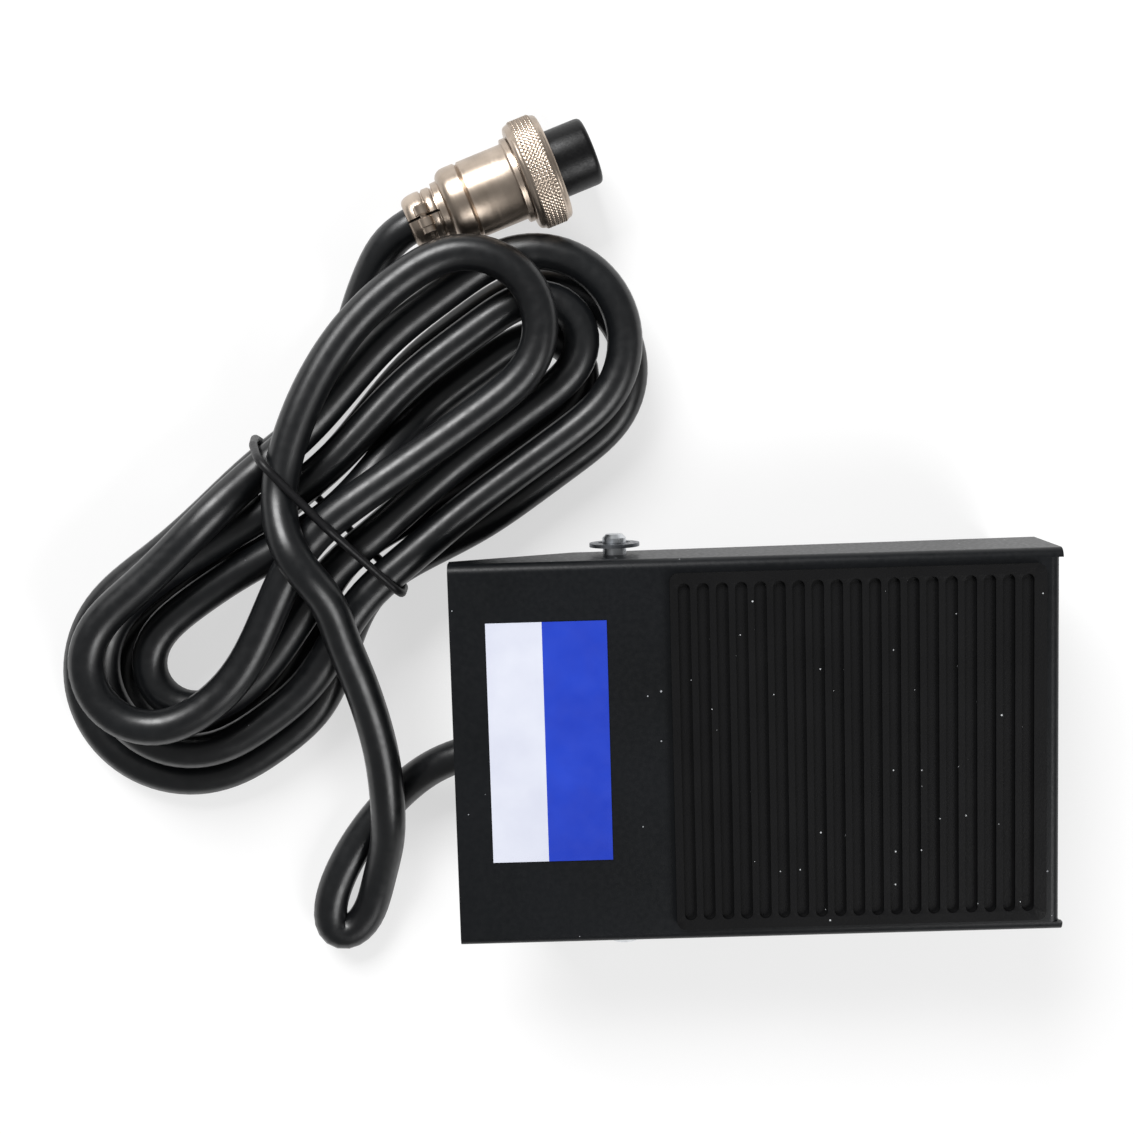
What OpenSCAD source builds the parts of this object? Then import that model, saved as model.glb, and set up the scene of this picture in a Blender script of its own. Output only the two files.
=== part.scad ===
// Industrial foot switch: a sheet-steel pedal hinged over a folded base tray, with a
// lever microswitch inside and a cord that ends in a round screw-coupled plug.
// Millimetres, +Z up, +X towards the tread (toe) end. The origin is on the floor under
// the middle of the pedal.

/* [Pedal] */
// Length of the pedal from heel to toe
pedal_l = 100; // [96:0.5:110]
// Width of the pedal
pedal_w = 64; // [60:0.5:76]
// Height of the pedal's top over the hinge axis
pedal_rise = 9.8; // [9.4:0.1:11]
// Distance from the heel edge to the hinge axis
heel_reach = 27.5; // [26:0.5:30]
// Thickness of the steel sheet of pedal and tray
sheet_t = 1.2; // [1:0.1:1.4]
// Outer radius of the folded edges
bend_r = 1.6; // [1.5:0.1:2]
// Depth of the side flanges at the heel
flange_heel_d = 5.4; // [4:0.1:7]
// Depth of the side flanges at the hinge
flange_hinge_d = 14.3; // [13.8:0.1:14.8]
// Depth of the flanges at the toe
flange_toe_d = 18.1; // [16:0.1:18.6]
// How far the flange's low edge runs level behind the hinge
flange_run = 7; // [5:0.5:10]
// How far the side flanges stand past the toe fold
toe_ear = 0.4; // [0.2:0.1:0.6]
// Tilt of the pedal at rest, toe up, in degrees
rest_tilt = 3; // [2.5:0.1:3.5]
// Travel of the pedal from rest to its stop, in degrees
press_angle = 5; // [4.5:0.1:5.2]

/* [Tread pad] */
// Bare steel left between the label and the pad
pad_label_gap = 10.3; // [8:0.1:14]
// Width of the rubber tread pad
pad_w = 59.4; // [56:0.2:60]
// Thickness of the tread pad
pad_t = 1.2; // [1:0.1:2]
// Distance from the pad to the toe edge
pad_toe_gap = 3; // [2.5:0.1:5]
// Corner radius of the pad
pad_r = 1.4; // [0.8:0.1:3]
// Number of grooves across the pad
groove_n = 19; // [15:1:19]
// Width of a groove
groove_w = 2; // [1.2:0.1:2.2]
// Depth of a groove
groove_d = 0.8; // [0.4:0.1:0.9]
// Rim left at the ends of the grooves
groove_end = 1.6; // [1.2:0.1:3]
// Distance from the pad's heel edge to the first groove
groove_first = 2.3; // [1.5:0.1:2.6]
// Distance from the last groove to the pad's toe edge
groove_last = 3.08; // [1.5:0.02:3.5]

/* [Label] */
// Length of the label along the pedal
label_l = 19.8; // [16:0.2:21]
// Width of the label across the pedal
label_w = 40; // [30:1:46]
// Thickness of the label's foil
label_t = 0.2; // [0.1:0.05:0.3]
// Distance from the heel edge to the label
label_heel_gap = 5.9; // [5:0.1:8]
// Offset of the label's middle from the pedal's middle
label_off = 2.3; // [0:0.1:5]

/* [Base tray] */
// Height of the hinge axis over the floor
hinge_h = 15; // [14.8:0.1:16]
// How far the pedal overhangs the tray at the heel
heel_over = 8; // [7:0.5:9]
// Gap between the tray and the pedal at the toe
toe_gap = 1.2; // [1:0.1:2]
// Gap between the tray's sides and the pedal's flanges
side_gap = 0.8; // [0.7:0.05:1.2]
// Gap left at the two stops
stop_gap = 0.3; // [0.2:0.05:0.5]
// Height of the side walls' top over the floor at the hinge
wall_hinge_h = 20; // [19.5:0.1:20.5]
// Height of the side walls' top over the floor at the toe
wall_toe_h = 17; // [14:0.5:19]

/* [Feet] */
// Height of a rubber foot
foot_h = 2.2; // [2:0.1:2.4]
// Radius of a rubber foot
foot_r = 5; // [4:0.1:5.5]
// Radius of the foot's stem
foot_stem_r = 1.95; // [1.5:0.05:2]
// Distance of the feet from the tray's edges
foot_inset = 7; // [6.8:0.1:8]

/* [Mounting holes] */
// Radius of the two mounting holes
mount_r = 2.25; // [1.6:0.05:2.6]
// Distance between the mounting holes
mount_pitch = 40; // [30:1:44]
// Distance of the mounting holes from the middle line
mount_off = 21; // [20:0.5:22]

/* [Hinge] */
// Radius of the hinge pin
pin_r = 2; // [1.6:0.05:2.2]
// Radius of the pin's head
pin_head_r = 3; // [2.6:0.1:3.4]
// Thickness of the pin's head
pin_head_t = 2.2; // [1.6:0.1:2.4]
// How far the pin's end stands out of the pedal's side
pin_stand = 3.4; // [3:0.1:3.8]
// Radius of the retaining clip
clip_r = 4.2; // [3.6:0.1:4.6]
// Thickness of the retaining clip
clip_t = 0.6; // [0.4:0.05:0.7]
// Gap between the pedal's side and the clip
clip_gap = 1.35; // [0.8:0.05:1.6]
// Radius of the clip's groove in the pin
clip_groove_r = 1.5; // [1.1:0.05:1.6]
// Wall of the hinge bushes
bush_wall = 0.93; // [0.7:0.01:1.1]
// Thickness of the bushes' flange
bush_flange_t = 0.5; // [0.3:0.05:0.5]

/* [Return spring] */
// Outer diameter of the return spring
spring_d = 10; // [8:0.5:10.5]
// Diameter of the spring's wire
spring_wire = 1.2; // [0.8:0.1:1.4]
// Number of curls
spring_n = 7; // [5:1:8]
// Distance from the spring's axis to the tray's toe end
spring_inset = 11.2; // [10.2:0.1:12.2]
// Height of the spring's post
post_h = 6; // [4:0.5:8]

/* [Microswitch] */
// Length of the switch's case
case_l = 27.8; // [27.8:0.1:28.4]
// Height of the switch's case
case_h = 15.9; // [15.8:0.1:16]
// Thickness of the switch's case
case_w = 10.3; // [9.8:0.1:10.6]
// Distance from the hinge axis to the case's heel end
case_from_hinge = 14.5; // [13.5:0.5:15]
// Gap between the case and the tray's floor
case_lift = 0.5; // [0.3:0.1:0.6]
// Distance between the fixing holes along the case
case_pitch_x = 22.2; // [22:0.1:22.4]
// Distance between the fixing holes up the case
case_pitch_z = 10.3; // [10.1:0.1:10.5]
// Length of the lever from its pivot to its tip
lever_l = 22.5; // [22:0.1:23]
// Width of the lever
lever_w = 4.4; // [3.6:0.1:4.6]
// Thickness of the lever's strip
lever_t = 0.4; // [0.3:0.05:0.5]
// Radius of the plunger
plunger_r = 1.6; // [1.3:0.05:1.8]
// Distance from the lever's pivot to the plunger
plunger_arm = 8.5; // [8:0.1:9]

/* [Cable entry] */
// Diameter of the cord
cord_d = 6; // [5.9:0.05:6]
// Place of the cable entry across the tray
cable_y = -1.6; // [-3:0.1:0]
// Height of the cable entry's axis
cable_z = 9; // [8.9:0.1:9.4]
// Length of the cable clamp
clamp_l = 5; // [4:0.2:5.4]

/* [Plug] */
// Radius of the coupling nut
nut_r = 9.3; // [8.8:0.1:9.6]
// Width of the coupling nut
nut_w = 6; // [5.4:0.1:6.4]
// Radius of the plug's shell
shell_r = 6.5; // [6.2:0.1:6.8]
// Length of the shell from the rear clamp to the nut
shell_l = 14.4; // [12:0.2:16]
// Length of the rear clamp
collar_l = 5.6; // [4.6:0.1:6.4]
// Radius of the rear clamp
collar_r = 4.6; // [4.4:0.1:5]
// Radius of the black insert
insert_r = 5.7; // [5.3:0.05:5.8]
// How far the insert stands out of the nut
insert_out = 6.8; // [5:0.1:7.4]

/* [Hank] */
// Gap between the cord's passes at the waist, in height
level_gap = 0.6; // [0.6:0.05:0.8]
// Gap between the cord's passes at the waist, across
pass_gap = 0.8; // [0.8:0.05:1]
// Lift of the waist over the floor, where the tie runs under it
waist_lift = 1.7; // [1.7:0.1:2]
// Diameter of the tie
tie_d = 1.5; // [1:0.1:1.5]

/* [Hidden] */

$fn = 48;
// shared small sizes
over = 1;            // overrun of cuts
run_gap = 0.05;      // running clearance, pin in hole
seat_gap = 0.02;     // clearance of pieces that stay together
free_gap = 0.3;      // clearance of pieces that pass each other
edge_r = 0.4;        // eased edge
// screws, M3
screw_r = 1.5;
screw_gap = 0.05;
screw_head_r = 2.7;
screw_head_t = 1.6;
slot_w = 0.7;
slot_d = 0.8;
nut3_r = 3.1;
nut3_t = 2.3;
// pedal and tray places
heel_x = -pedal_l / 2;
hinge_x = heel_x + heel_reach;
toe_loc = pedal_l - heel_reach;
pad_l = pedal_l - label_heel_gap - label_l - pad_label_gap - pad_toe_gap;
groove_pitch = (pad_l - groove_first - groove_last) / (groove_n - 1);
under_loc = pedal_rise - sheet_t;
floor_z = foot_h + sheet_t;
tray_x0 = heel_x + heel_over;
tray_x1 = pedal_l / 2 - sheet_t - toe_ear - toe_gap;
tray_w = pedal_w - 2 * (sheet_t + side_gap);
tray_mid = (tray_x0 + tray_x1) / 2;
full_tilt = rest_tilt - press_angle;
// height of the pedal's underside over the place x, at a tilt in degrees
function under_z(x, tilt) = hinge_h + under_loc / cos(tilt) + (x - hinge_x) * tan(tilt);
heel_wall_z = under_z(tray_x0, rest_tilt) - stop_gap;
toe_wall_z = under_z(tray_x1, full_tilt) - stop_gap;
foot_x = [tray_x0 + foot_inset, tray_x1 - foot_inset];
foot_y = tray_w / 2 - foot_inset;
foot_barb = 0.6;
foot_head_r = foot_stem_r + foot_barb;
foot_head_h = 1.8;
// hinge
bush_r = pin_r + run_gap + bush_wall;
bush_flange_r = 4.5;
bush_in = 1;
pin_tip = 0.6;
// return spring
spring_x = tray_x1 - spring_inset;
spring_r = (spring_d - spring_wire) / 2;
spring_top = under_z(spring_x, rest_tilt) - spring_d / 2 * tan(rest_tilt) - free_gap / 2;
spring_seat = 0.1;
post_gap = 0.4;
post_r = spring_r - spring_wire / 2 - post_gap;
post_rivet_r = 1.5;
post_rivet_out = 0.4;
// microswitch places
case_x = hinge_x + case_from_hinge;
case_z = floor_z + case_lift;
case_wall = 1.3;
cover_t = 1.2;
boss_r = 2.8;
hole_x = [case_x + boss_r, case_x + boss_r + case_pitch_x];
hole_z = [case_z + boss_r + case_pitch_z, case_z + boss_r];
case_top = case_z + case_h;
lever_barrel_r = 1.1;
lever_pin_r = 0.7;
lever_in = 2.5;
lever_x = case_x + lever_in;
lever_z = case_top + lever_barrel_r + free_gap;
lever_tip_r = 0.5;
ear_t = 1.2;
ear_gap = 0.2;
ear_r = 1.3;
touch_gap = 0.1;     // gap left where one moving piece presses another
tip_gap = 0.3;       // gap between the lever's tip and the pedal
tip_x = lever_x + lever_l;
// lever angles over the level, at rest and pressed
lever_rest = asin((under_z(tip_x, rest_tilt) - tip_gap - lever_tip_r - lever_z) / lever_l);
lever_full = asin((under_z(tip_x, full_tilt) - tip_gap - lever_tip_r - lever_z) / lever_l);
plunger_x = lever_x + plunger_arm;
function lever_under(a) = lever_z + plunger_arm * tan(a) - lever_t / 2 / cos(a);
dome_z = lever_under(lever_rest) - (plunger_r + touch_gap) / cos(lever_rest);
stroke = lever_under(lever_rest) - (plunger_r + touch_gap) / cos(lever_rest)
    - lever_under(lever_full) + (plunger_r + touch_gap) / cos(lever_full);
// contact blade
blade_in = 3;
blade_up = 9.1;
blade_x = case_x + blade_in;
blade_z = case_z + blade_up;
blade_arm = plunger_x - blade_x;
blade_l = 18;
blade_t = 0.5;
blade_w = 4;
blade_half = atan(stroke / 2 / blade_arm);
blade_pin_r = 0.5;
blade_barrel_r = 1;
nib_r = 0.8;
nib_z = blade_z + blade_arm * tan(blade_half) + (blade_t / 2 + nib_r + touch_gap) / cos(blade_half);
plunger_collar_r = 2.3;
plunger_collar_t = 1;
plunger_collar_z = case_top - case_wall - touch_gap - plunger_collar_t;
button_r = 1.2;
button_t = 0.4;
tab_t = 0.8;
tab_w = 4;
tab_out = 4.5;
tab_hole_r = 0.7;
com_drop = 2;
com_z = blade_z - com_drop;
// the blade's button at each end of its swing, with the gap left there
button_reach = blade_l - button_r - edge_r;
contact_rise = button_reach * sin(blade_half) + (blade_t / 2 + button_t) * cos(blade_half)
    + button_r * sin(blade_half) + touch_gap + button_t + tab_t / 2;
nc_z = blade_z + contact_rise;
no_z = blade_z - contact_rise;
com_ear_t = 0.7;
com_ear_w = 1.2;
// bracket
bracket_t = 1.5;
bracket_foot = 8;
bracket_y = case_w / 2;
bracket_inset = 4;
// the foot stops short of the lower fixing nut
bracket_foot_l = hole_x[1] - nut3_r - free_gap - case_x;
bracket_hole_x = [case_x + bracket_inset, case_x + bracket_foot_l - bracket_inset];
bracket_hole_y = bracket_y + bracket_t + (bracket_foot + edge_r) / 2;
// wires and cord
wire_d = 1.6;
grommet_groove_r = 4.4;
grommet_flange_r = 5.5;
grommet_flange_t = 1.2;
grommet_nose_r = 4;
grommet_nose_l = 2.1;
cord_r = cord_d / 2;
nose_x = tray_x0 - grommet_flange_t - grommet_nose_l;
clamp_in = 5;
clamp_x = tray_x0 + clamp_in;
strap_t = 1.6;
clamp_screw_y = cord_r + strap_t + screw_head_r + run_gap;
clamp_w = 2 * (clamp_screw_y + screw_head_r);
strap_gap = 0.4;
cord_end_out = 2;
cord_end_x = clamp_x + clamp_l + cord_end_out;
// plug, along its own axis from the rear
nut_x0 = collar_l + shell_l;
nut_x1 = nut_x0 + nut_w;
insert_x1 = nut_x1 + insert_out;
shell_flange_t = 1.1;
shell_flange_out = 0.7;
shell_flange_r = shell_r + shell_flange_out;
shell_barrel_l = 4;
shell_barrel_x = nut_x0 + shell_barrel_l;
nut_gap = 0.08;
nut_play = 0.15;
nut_lip = 2;
thread_gap = 1;
nut_bore_r = shell_r + thread_gap;
ring_t = 0.8;
ring_out = 0.8;
ring_in = 0.5;
ring_r = shell_r + ring_out;
ring_groove_r = shell_r - ring_in;
insert_back = 4;
insert_back_x = nut_x0 - insert_back;
insert_step = 0.3;
insert_edge = 0.5;
socket_n = 3;
socket_pitch_r = 3;
socket_r = 1;
socket_wall = 0.35;
socket_l = 7;
plug_x = -54.9;
plug_y = 87.7;
plug_turn = 20.5;
plug_z = nut_r + run_gap;
groove_small = 0.25;
collar_edge = 0.9;
split_gap = 0.4;
ear_y = 4.3;
clamp_ear_r = 1.3;
clamp_ear_t = 2;
clamp_screw_r = 0.6;
clamp_head_r = 1.1;
clamp_head_t = 0.8;
nut_edge = 0.7;
insert_screw_off = 1.5;
insert_screw_x = insert_back_x + insert_screw_off;
insert_screw_r = 0.8;
insert_screw_in = 5;

function ease(x) = let (c = min(max(x, 0), 1)) c * c * (3 - 2 * c);
function unit(v) = v / norm(v);

// tubes
// a tube round a list of points; ref is a direction that no stretch runs along
function tube_dir(p, i) = unit(p[min(i + 1, len(p) - 1)] - p[max(i - 1, 0)]);
function tube_ring(c, t, ref, r, n) =
    let (s = unit(cross(ref, t)), u = cross(t, s))
    [for (k = [0:n - 1]) c + r * (cos(360 * (k + 0.5) / n) * s + sin(360 * (k + 0.5) / n) * u)];
module tube(p, r, n, ref, first = undef, last = undef) {
    m = len(p);
    points = [for (i = [0:m - 1]) each tube_ring(p[i],
        i == 0 && first != undef ? first : i == m - 1 && last != undef ? last : tube_dir(p, i),
        ref, r, n)];
    sides = [for (i = [0:m - 2]) for (k = [0:n - 1])
        let (a = i * n + k, b = i * n + (k + 1) % n)
        each [[a, b, b + n], [a, b + n, a + n]]];
    caps = [for (k = [1:n - 2]) each [[0, k + 1, k],
        [(m - 1) * n, (m - 1) * n + k, (m - 1) * n + k + 1]]];
    polyhedron(points = points, faces = [for (f = concat(sides, caps)) [f[0], f[2], f[1]]], convexity = 10);
}
// a closed ring of tube
module tube_loop(p, r, n, ref) {
    m = len(p);
    points = [for (i = [0:m - 1])
        each tube_ring(p[i], unit(p[(i + 1) % m] - p[(i + m - 1) % m]), ref, r, n)];
    polyhedron(points = points, faces = [for (i = [0:m - 1]) for (k = [0:n - 1])
        let (a = i * n + k, b = i * n + (k + 1) % n,
            c = ((i + 1) % m) * n + k, d = ((i + 1) % m) * n + (k + 1) % n)
        each [[a, d, b], [a, c, d]]], convexity = 10);
}
// a smooth line through chosen points, s steps from one to the next
function smooth_at(p, i, t) =
    let (a = p[max(i - 1, 0)], b = p[i], c = p[i + 1], d = p[min(i + 2, len(p) - 1)])
    0.5 * (2 * b + (c - a) * t + (2 * a - 5 * b + 4 * c - d) * t * t + (3 * b - a - 3 * c + d) * t * t * t);
function smooth(p, s) = [for (i = [0:len(p) - 2]) for (k = [0:s - 1]) smooth_at(p, i, k / s), p[len(p) - 1]];
function path_len(p, i = 0) = i >= len(p) - 1 ? 0 : norm(p[i + 1] - p[i]) + path_len(p, i + 1);

// pedal
module on_pedal() {
    translate([hinge_x, 0, hinge_h]) rotate([0, -rest_tilt, 0]) children();
}
// a folded channel, seen along its length, with its top at y = 0
module channel_section(w, h) {
    difference() {
        union() {
            translate([-w / 2, -h]) square([w, h - bend_r]);
            translate([-w / 2 + bend_r, -h]) square([w - 2 * bend_r, h]);
            for (s = [-1, 1]) translate([s * (w / 2 - bend_r), -bend_r]) circle(r = bend_r);
        }
        translate([-w / 2 + sheet_t, -h - over]) square([w - 2 * sheet_t, h + over - bend_r]);
        translate([-w / 2 + bend_r, -h - over]) square([w - 2 * bend_r, h + over - sheet_t]);
        for (s = [-1, 1]) translate([s * (w / 2 - bend_r), -bend_r]) circle(r = bend_r - sheet_t);
    }
}
module pedal_cover() {
    fold_x = toe_loc - toe_ear;
    toe_w = pedal_w - 2 * (sheet_t + free_gap);
    low = pedal_rise - flange_toe_d;
    color("#1b1c1f") on_pedal() difference() {
        union() {
            difference() {
                intersection() {
                    translate([-heel_reach, 0, pedal_rise]) rotate([90, 0, 90])
                        linear_extrude(pedal_l) channel_section(pedal_w, flange_toe_d);
                    rotate([90, 0, 0]) linear_extrude(pedal_w + 2 * over, center = true) polygon([
                        [-heel_reach, pedal_rise + over], [-heel_reach, pedal_rise - flange_heel_d],
                        [-flange_run, pedal_rise - flange_hinge_d], [0, pedal_rise - flange_hinge_d],
                        [toe_loc, pedal_rise - flange_toe_d], [toe_loc, pedal_rise + over]]);
                }
                translate([fold_x - bend_r, -pedal_w / 2 + sheet_t + free_gap, low - over])
                    cube([toe_ear + bend_r + over, toe_w, flange_toe_d + 2 * over]);
            }
            // the toe's fold and flange
            rotate([90, 0, 0]) linear_extrude(toe_w, center = true) {
                translate([fold_x - sheet_t, low]) square([sheet_t, flange_toe_d - bend_r]);
                intersection() {
                    translate([fold_x - bend_r, pedal_rise - bend_r]) difference() {
                        circle(r = bend_r);
                        circle(r = bend_r - sheet_t);
                    }
                    translate([fold_x - bend_r, pedal_rise - bend_r]) square([bend_r, bend_r]);
                }
            }
        }
        rotate([90, 0, 0]) cylinder(r = pin_r + run_gap, h = pedal_w + 2 * over, center = true);
    }
}
module tread_pad() {
    x0 = toe_loc - pad_toe_gap - pad_l;
    color("#151516") on_pedal() translate([x0, 0, pedal_rise]) difference() {
        union() {
            translate([0, -pad_w / 2 + pad_r, 0]) cube([pad_l, pad_w - 2 * pad_r, pad_t]);
            translate([pad_r, -pad_w / 2, 0]) cube([pad_l - 2 * pad_r, pad_w, pad_t]);
            for (x = [pad_r, pad_l - pad_r], s = [-1, 1])
                translate([x, s * (pad_w / 2 - pad_r), 0]) cylinder(r = pad_r, h = pad_t);
        }
        for (i = [0:groove_n - 1]) translate([groove_first + i * groove_pitch, 0, pad_t - groove_d]) {
            reach = pad_w / 2 - groove_end - groove_w / 2;
            translate([-groove_w / 2, -reach, 0]) cube([groove_w, 2 * reach, groove_d + over]);
            for (s = [-1, 1]) translate([0, s * reach, 0])
                cylinder(r = groove_w / 2, h = groove_d + over, $fn = 24);
        }
    }
}
module label() {
    color("#2036cc") on_pedal()
        translate([label_heel_gap - heel_reach, label_off - label_w / 2, pedal_rise])
            cube([label_l, label_w, label_t]);
}

// hinge
module at_hinge() {
    translate([hinge_x, 0, hinge_h]) rotate([-90, 0, 0]) children();
}
module hinge_pin() {
    seat = -pedal_w / 2 - free_gap;
    tip = pedal_w / 2 + pin_stand;
    groove = pedal_w / 2 + clip_gap - seat_gap;
    color("#c9cacc") at_hinge() rotate_extrude() polygon([
        [0, seat - pin_head_t], [pin_head_r - pin_tip, seat - pin_head_t],
        [pin_head_r, seat - pin_head_t + pin_tip], [pin_head_r, seat],
        [pin_r, seat], [pin_r, groove], [clip_groove_r, groove],
        [clip_groove_r, groove + clip_t + 2 * seat_gap], [pin_r, groove + clip_t + 2 * seat_gap],
        [pin_r, tip - pin_tip], [pin_r - pin_tip, tip], [0, tip]]);
}
module e_clip() {
    mouth = clip_groove_r * 1.7;
    color("#d4d5d8") at_hinge() translate([0, 0, pedal_w / 2 + clip_gap]) linear_extrude(clip_t)
        rotate(90) difference() {
            circle(r = clip_r);
            circle(r = clip_groove_r + seat_gap);
            translate([0, -mouth / 2]) square([clip_r + over, mouth]);
            for (a = [75, -75, 180]) rotate(a) translate([clip_groove_r * 1.25, 0])
                circle(r = clip_groove_r * 0.62, $fn = 24);
        }
}
module hinge_bushes() {
    color("#e6e3da") for (s = [0, 1]) translate([hinge_x, 0, hinge_h]) rotate([-90 + 180 * s, 0, 0])
        difference() {
            union() {
                translate([0, 0, tray_w / 2 - sheet_t - bush_in]) cylinder(r = bush_r, h = sheet_t + bush_in);
                translate([0, 0, tray_w / 2]) cylinder(r = bush_flange_r, h = bush_flange_t);
            }
            translate([0, 0, tray_w / 2 - sheet_t - bush_in - over])
                cylinder(r = pin_r + run_gap, h = sheet_t + bush_in + bush_flange_t + 2 * over);
        }
}

// base tray
module base_tray() {
    color("#26272a") difference() {
        union() {
            translate([tray_x0, -tray_w / 2, foot_h]) cube([tray_x1 - tray_x0, tray_w, sheet_t]);
            translate([tray_x0, -tray_w / 2, foot_h]) cube([sheet_t, tray_w, heel_wall_z - foot_h]);
            translate([tray_x1 - sheet_t, -tray_w / 2, foot_h]) cube([sheet_t, tray_w, toe_wall_z - foot_h]);
            for (y = [-tray_w / 2 + sheet_t, tray_w / 2]) translate([0, y, 0])
                rotate([90, 0, 0]) linear_extrude(sheet_t) polygon([
                    [tray_x0, foot_h], [tray_x1, foot_h], [tray_x1, wall_toe_h],
                    [hinge_x, wall_hinge_h], [tray_x0, wall_hinge_h]]);
        }
        // hinge bushes
        translate([hinge_x, 0, hinge_h]) rotate([90, 0, 0])
            cylinder(r = bush_r + seat_gap, h = tray_w + 2 * over, center = true);
        // cable entry
        translate([tray_x0 - over, cable_y, cable_z]) rotate([0, 90, 0])
            cylinder(r = grommet_groove_r + run_gap, h = sheet_t + 2 * over);
        // feet
        for (x = foot_x, s = [-1, 1]) translate([x, s * foot_y, foot_h - over])
            cylinder(r = foot_stem_r + run_gap, h = sheet_t + 2 * over);
        // mounting holes
        for (s = [-1, 1]) translate([tray_mid + s * mount_pitch / 2, mount_off, foot_h - over])
            cylinder(r = mount_r, h = sheet_t + 2 * over);
        // bracket screws
        for (x = bracket_hole_x) translate([x, bracket_hole_y, foot_h - over])
            cylinder(r = screw_r + screw_gap, h = sheet_t + 2 * over);
        // clamp screws
        for (s = [-1, 1]) translate([clamp_x + clamp_l / 2, cable_y + s * clamp_screw_y, foot_h - over])
            cylinder(r = screw_r + screw_gap, h = sheet_t + 2 * over);
        // spring post's rivet
        translate([spring_x, 0, foot_h - over])
            cylinder(r = post_rivet_r + screw_gap, h = sheet_t + 2 * over);
    }
}
module feet() {
    color("#1a1a1a") for (x = foot_x, s = [-1, 1]) translate([x, s * foot_y, 0]) {
        cylinder(r1 = foot_r - edge_r, r2 = foot_r, h = edge_r);
        translate([0, 0, edge_r]) cylinder(r = foot_r, h = foot_h - edge_r);
        translate([0, 0, foot_h]) cylinder(r = foot_stem_r, h = sheet_t + run_gap);
        translate([0, 0, floor_z + run_gap])
            cylinder(r1 = foot_head_r, r2 = foot_stem_r - edge_r, h = foot_head_h);
    }
}
function spring_path() =
    let (z0 = floor_z + spring_seat + spring_wire / 2, z1 = spring_top - spring_wire / 2, m = 8 * spring_n)
    [[spring_r, -spring_wire, z0], for (i = [0:m])
        [spring_r * cos(360 * i / 8), spring_r * sin(360 * i / 8), z0 + (z1 - z0) * i / m],
        [spring_r, spring_wire, z1]];
module return_spring() {
    p = spring_path();
    echo(spring_gap = min([for (i = [1:len(p) - 2]) for (j = [i + 6:1:len(p) - 2]) norm(p[i] - p[j])])
        - spring_wire);
    color("#a9acb0") translate([spring_x, 0, 0]) tube(p, spring_wire / 2, 6, [0, 0, 1], [0, 1, 0], [0, 1, 0]);
}
module spring_post() {
    color("#e6e3da") translate([spring_x, 0, floor_z]) {
        cylinder(r = post_r, h = post_h - edge_r);
        translate([0, 0, post_h - edge_r]) cylinder(r1 = post_r, r2 = post_r - edge_r, h = edge_r);
        translate([0, 0, -sheet_t - post_rivet_out]) cylinder(r = post_rivet_r, h = sheet_t + post_rivet_out);
    }
}
// a pan head screw standing on z = 0, its shank reaching down l
module screw(l) {
    difference() {
        union() {
            cylinder(r = screw_head_r, h = screw_head_t - edge_r);
            translate([0, 0, screw_head_t - edge_r])
                cylinder(r1 = screw_head_r, r2 = screw_head_r - edge_r, h = edge_r);
            translate([0, 0, -l]) cylinder(r = screw_r, h = l);
        }
        translate([-screw_head_r - over, -slot_w / 2, screw_head_t - slot_d])
            cube([2 * (screw_head_r + over), slot_w, slot_d + over]);
    }
}

// microswitch
module switch_bracket() {
    color("#b8bbbe") difference() {
        union() {
            translate([case_x, bracket_y, floor_z]) cube([case_l, bracket_t, case_top - floor_z]);
            translate([case_x, bracket_y, floor_z])
                cube([bracket_foot_l, bracket_t + bracket_foot, bracket_t]);
        }
        for (i = [0, 1]) translate([hole_x[i], bracket_y - over, hole_z[i]]) rotate([-90, 0, 0])
            cylinder(r = screw_r + screw_gap, h = bracket_t + 2 * over);
        for (x = bracket_hole_x) translate([x, bracket_hole_y, floor_z - over])
            cylinder(r = screw_r + screw_gap, h = bracket_t + 2 * over);
    }
}
module bracket_screws() {
    color("#c9cacc") for (x = bracket_hole_x)
        translate([x, bracket_hole_y, floor_z + bracket_t]) screw(bracket_t + sheet_t + post_rivet_out);
}
module lever_frame(a) {
    translate([lever_x, 0, lever_z]) rotate([0, -a, 0]) children();
}
module switch_case() {
    back = case_w / 2;
    front = -case_w / 2 + cover_t;
    color("#1d1e22") difference() {
        union() {
            difference() {
                translate([case_x, front, case_z]) cube([case_l, back - front, case_h]);
                translate([case_x + case_wall, front - over, case_z + case_wall])
                    cube([case_l - 2 * case_wall, back - front - case_wall + over, case_h - 2 * case_wall]);
            }
            for (i = [0, 1]) translate([hole_x[i], front, hole_z[i]]) rotate([-90, 0, 0])
                cylinder(r = boss_r, h = back - front);
            // ears of the lever
            for (s = [-1, 1]) translate([lever_x, s * (lever_w / 2 + ear_gap + ear_t / 2), 0]) {
                translate([-ear_r, -ear_t / 2, case_top - case_wall])
                    cube([2 * ear_r, ear_t, lever_z - case_top + case_wall]);
                translate([0, 0, lever_z]) rotate([90, 0, 0]) cylinder(r = ear_r, h = ear_t, center = true);
            }
        }
        for (i = [0, 1]) translate([hole_x[i], front - over, hole_z[i]]) rotate([-90, 0, 0])
            cylinder(r = screw_r + screw_gap, h = back - front + 2 * over);
        translate([plunger_x, 0, case_top - case_wall - over])
            cylinder(r = plunger_r + run_gap, h = case_wall + 2 * over);
        translate([lever_x, 0, lever_z]) rotate([90, 0, 0])
            cylinder(r = lever_pin_r + seat_gap, h = 2 * case_w, center = true);
        // slots of the terminals
        tab_slot(case_x, com_z);
        tab_slot(case_x + case_l - case_wall, nc_z);
        tab_slot(case_x + case_l - case_wall, no_z);
    }
}
module tab_slot(x, z) {
    translate([x - over, -tab_w / 2 - seat_gap, z - tab_t / 2 - seat_gap])
        cube([case_wall + 2 * over, tab_w + 2 * seat_gap, tab_t + 2 * seat_gap]);
}
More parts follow.
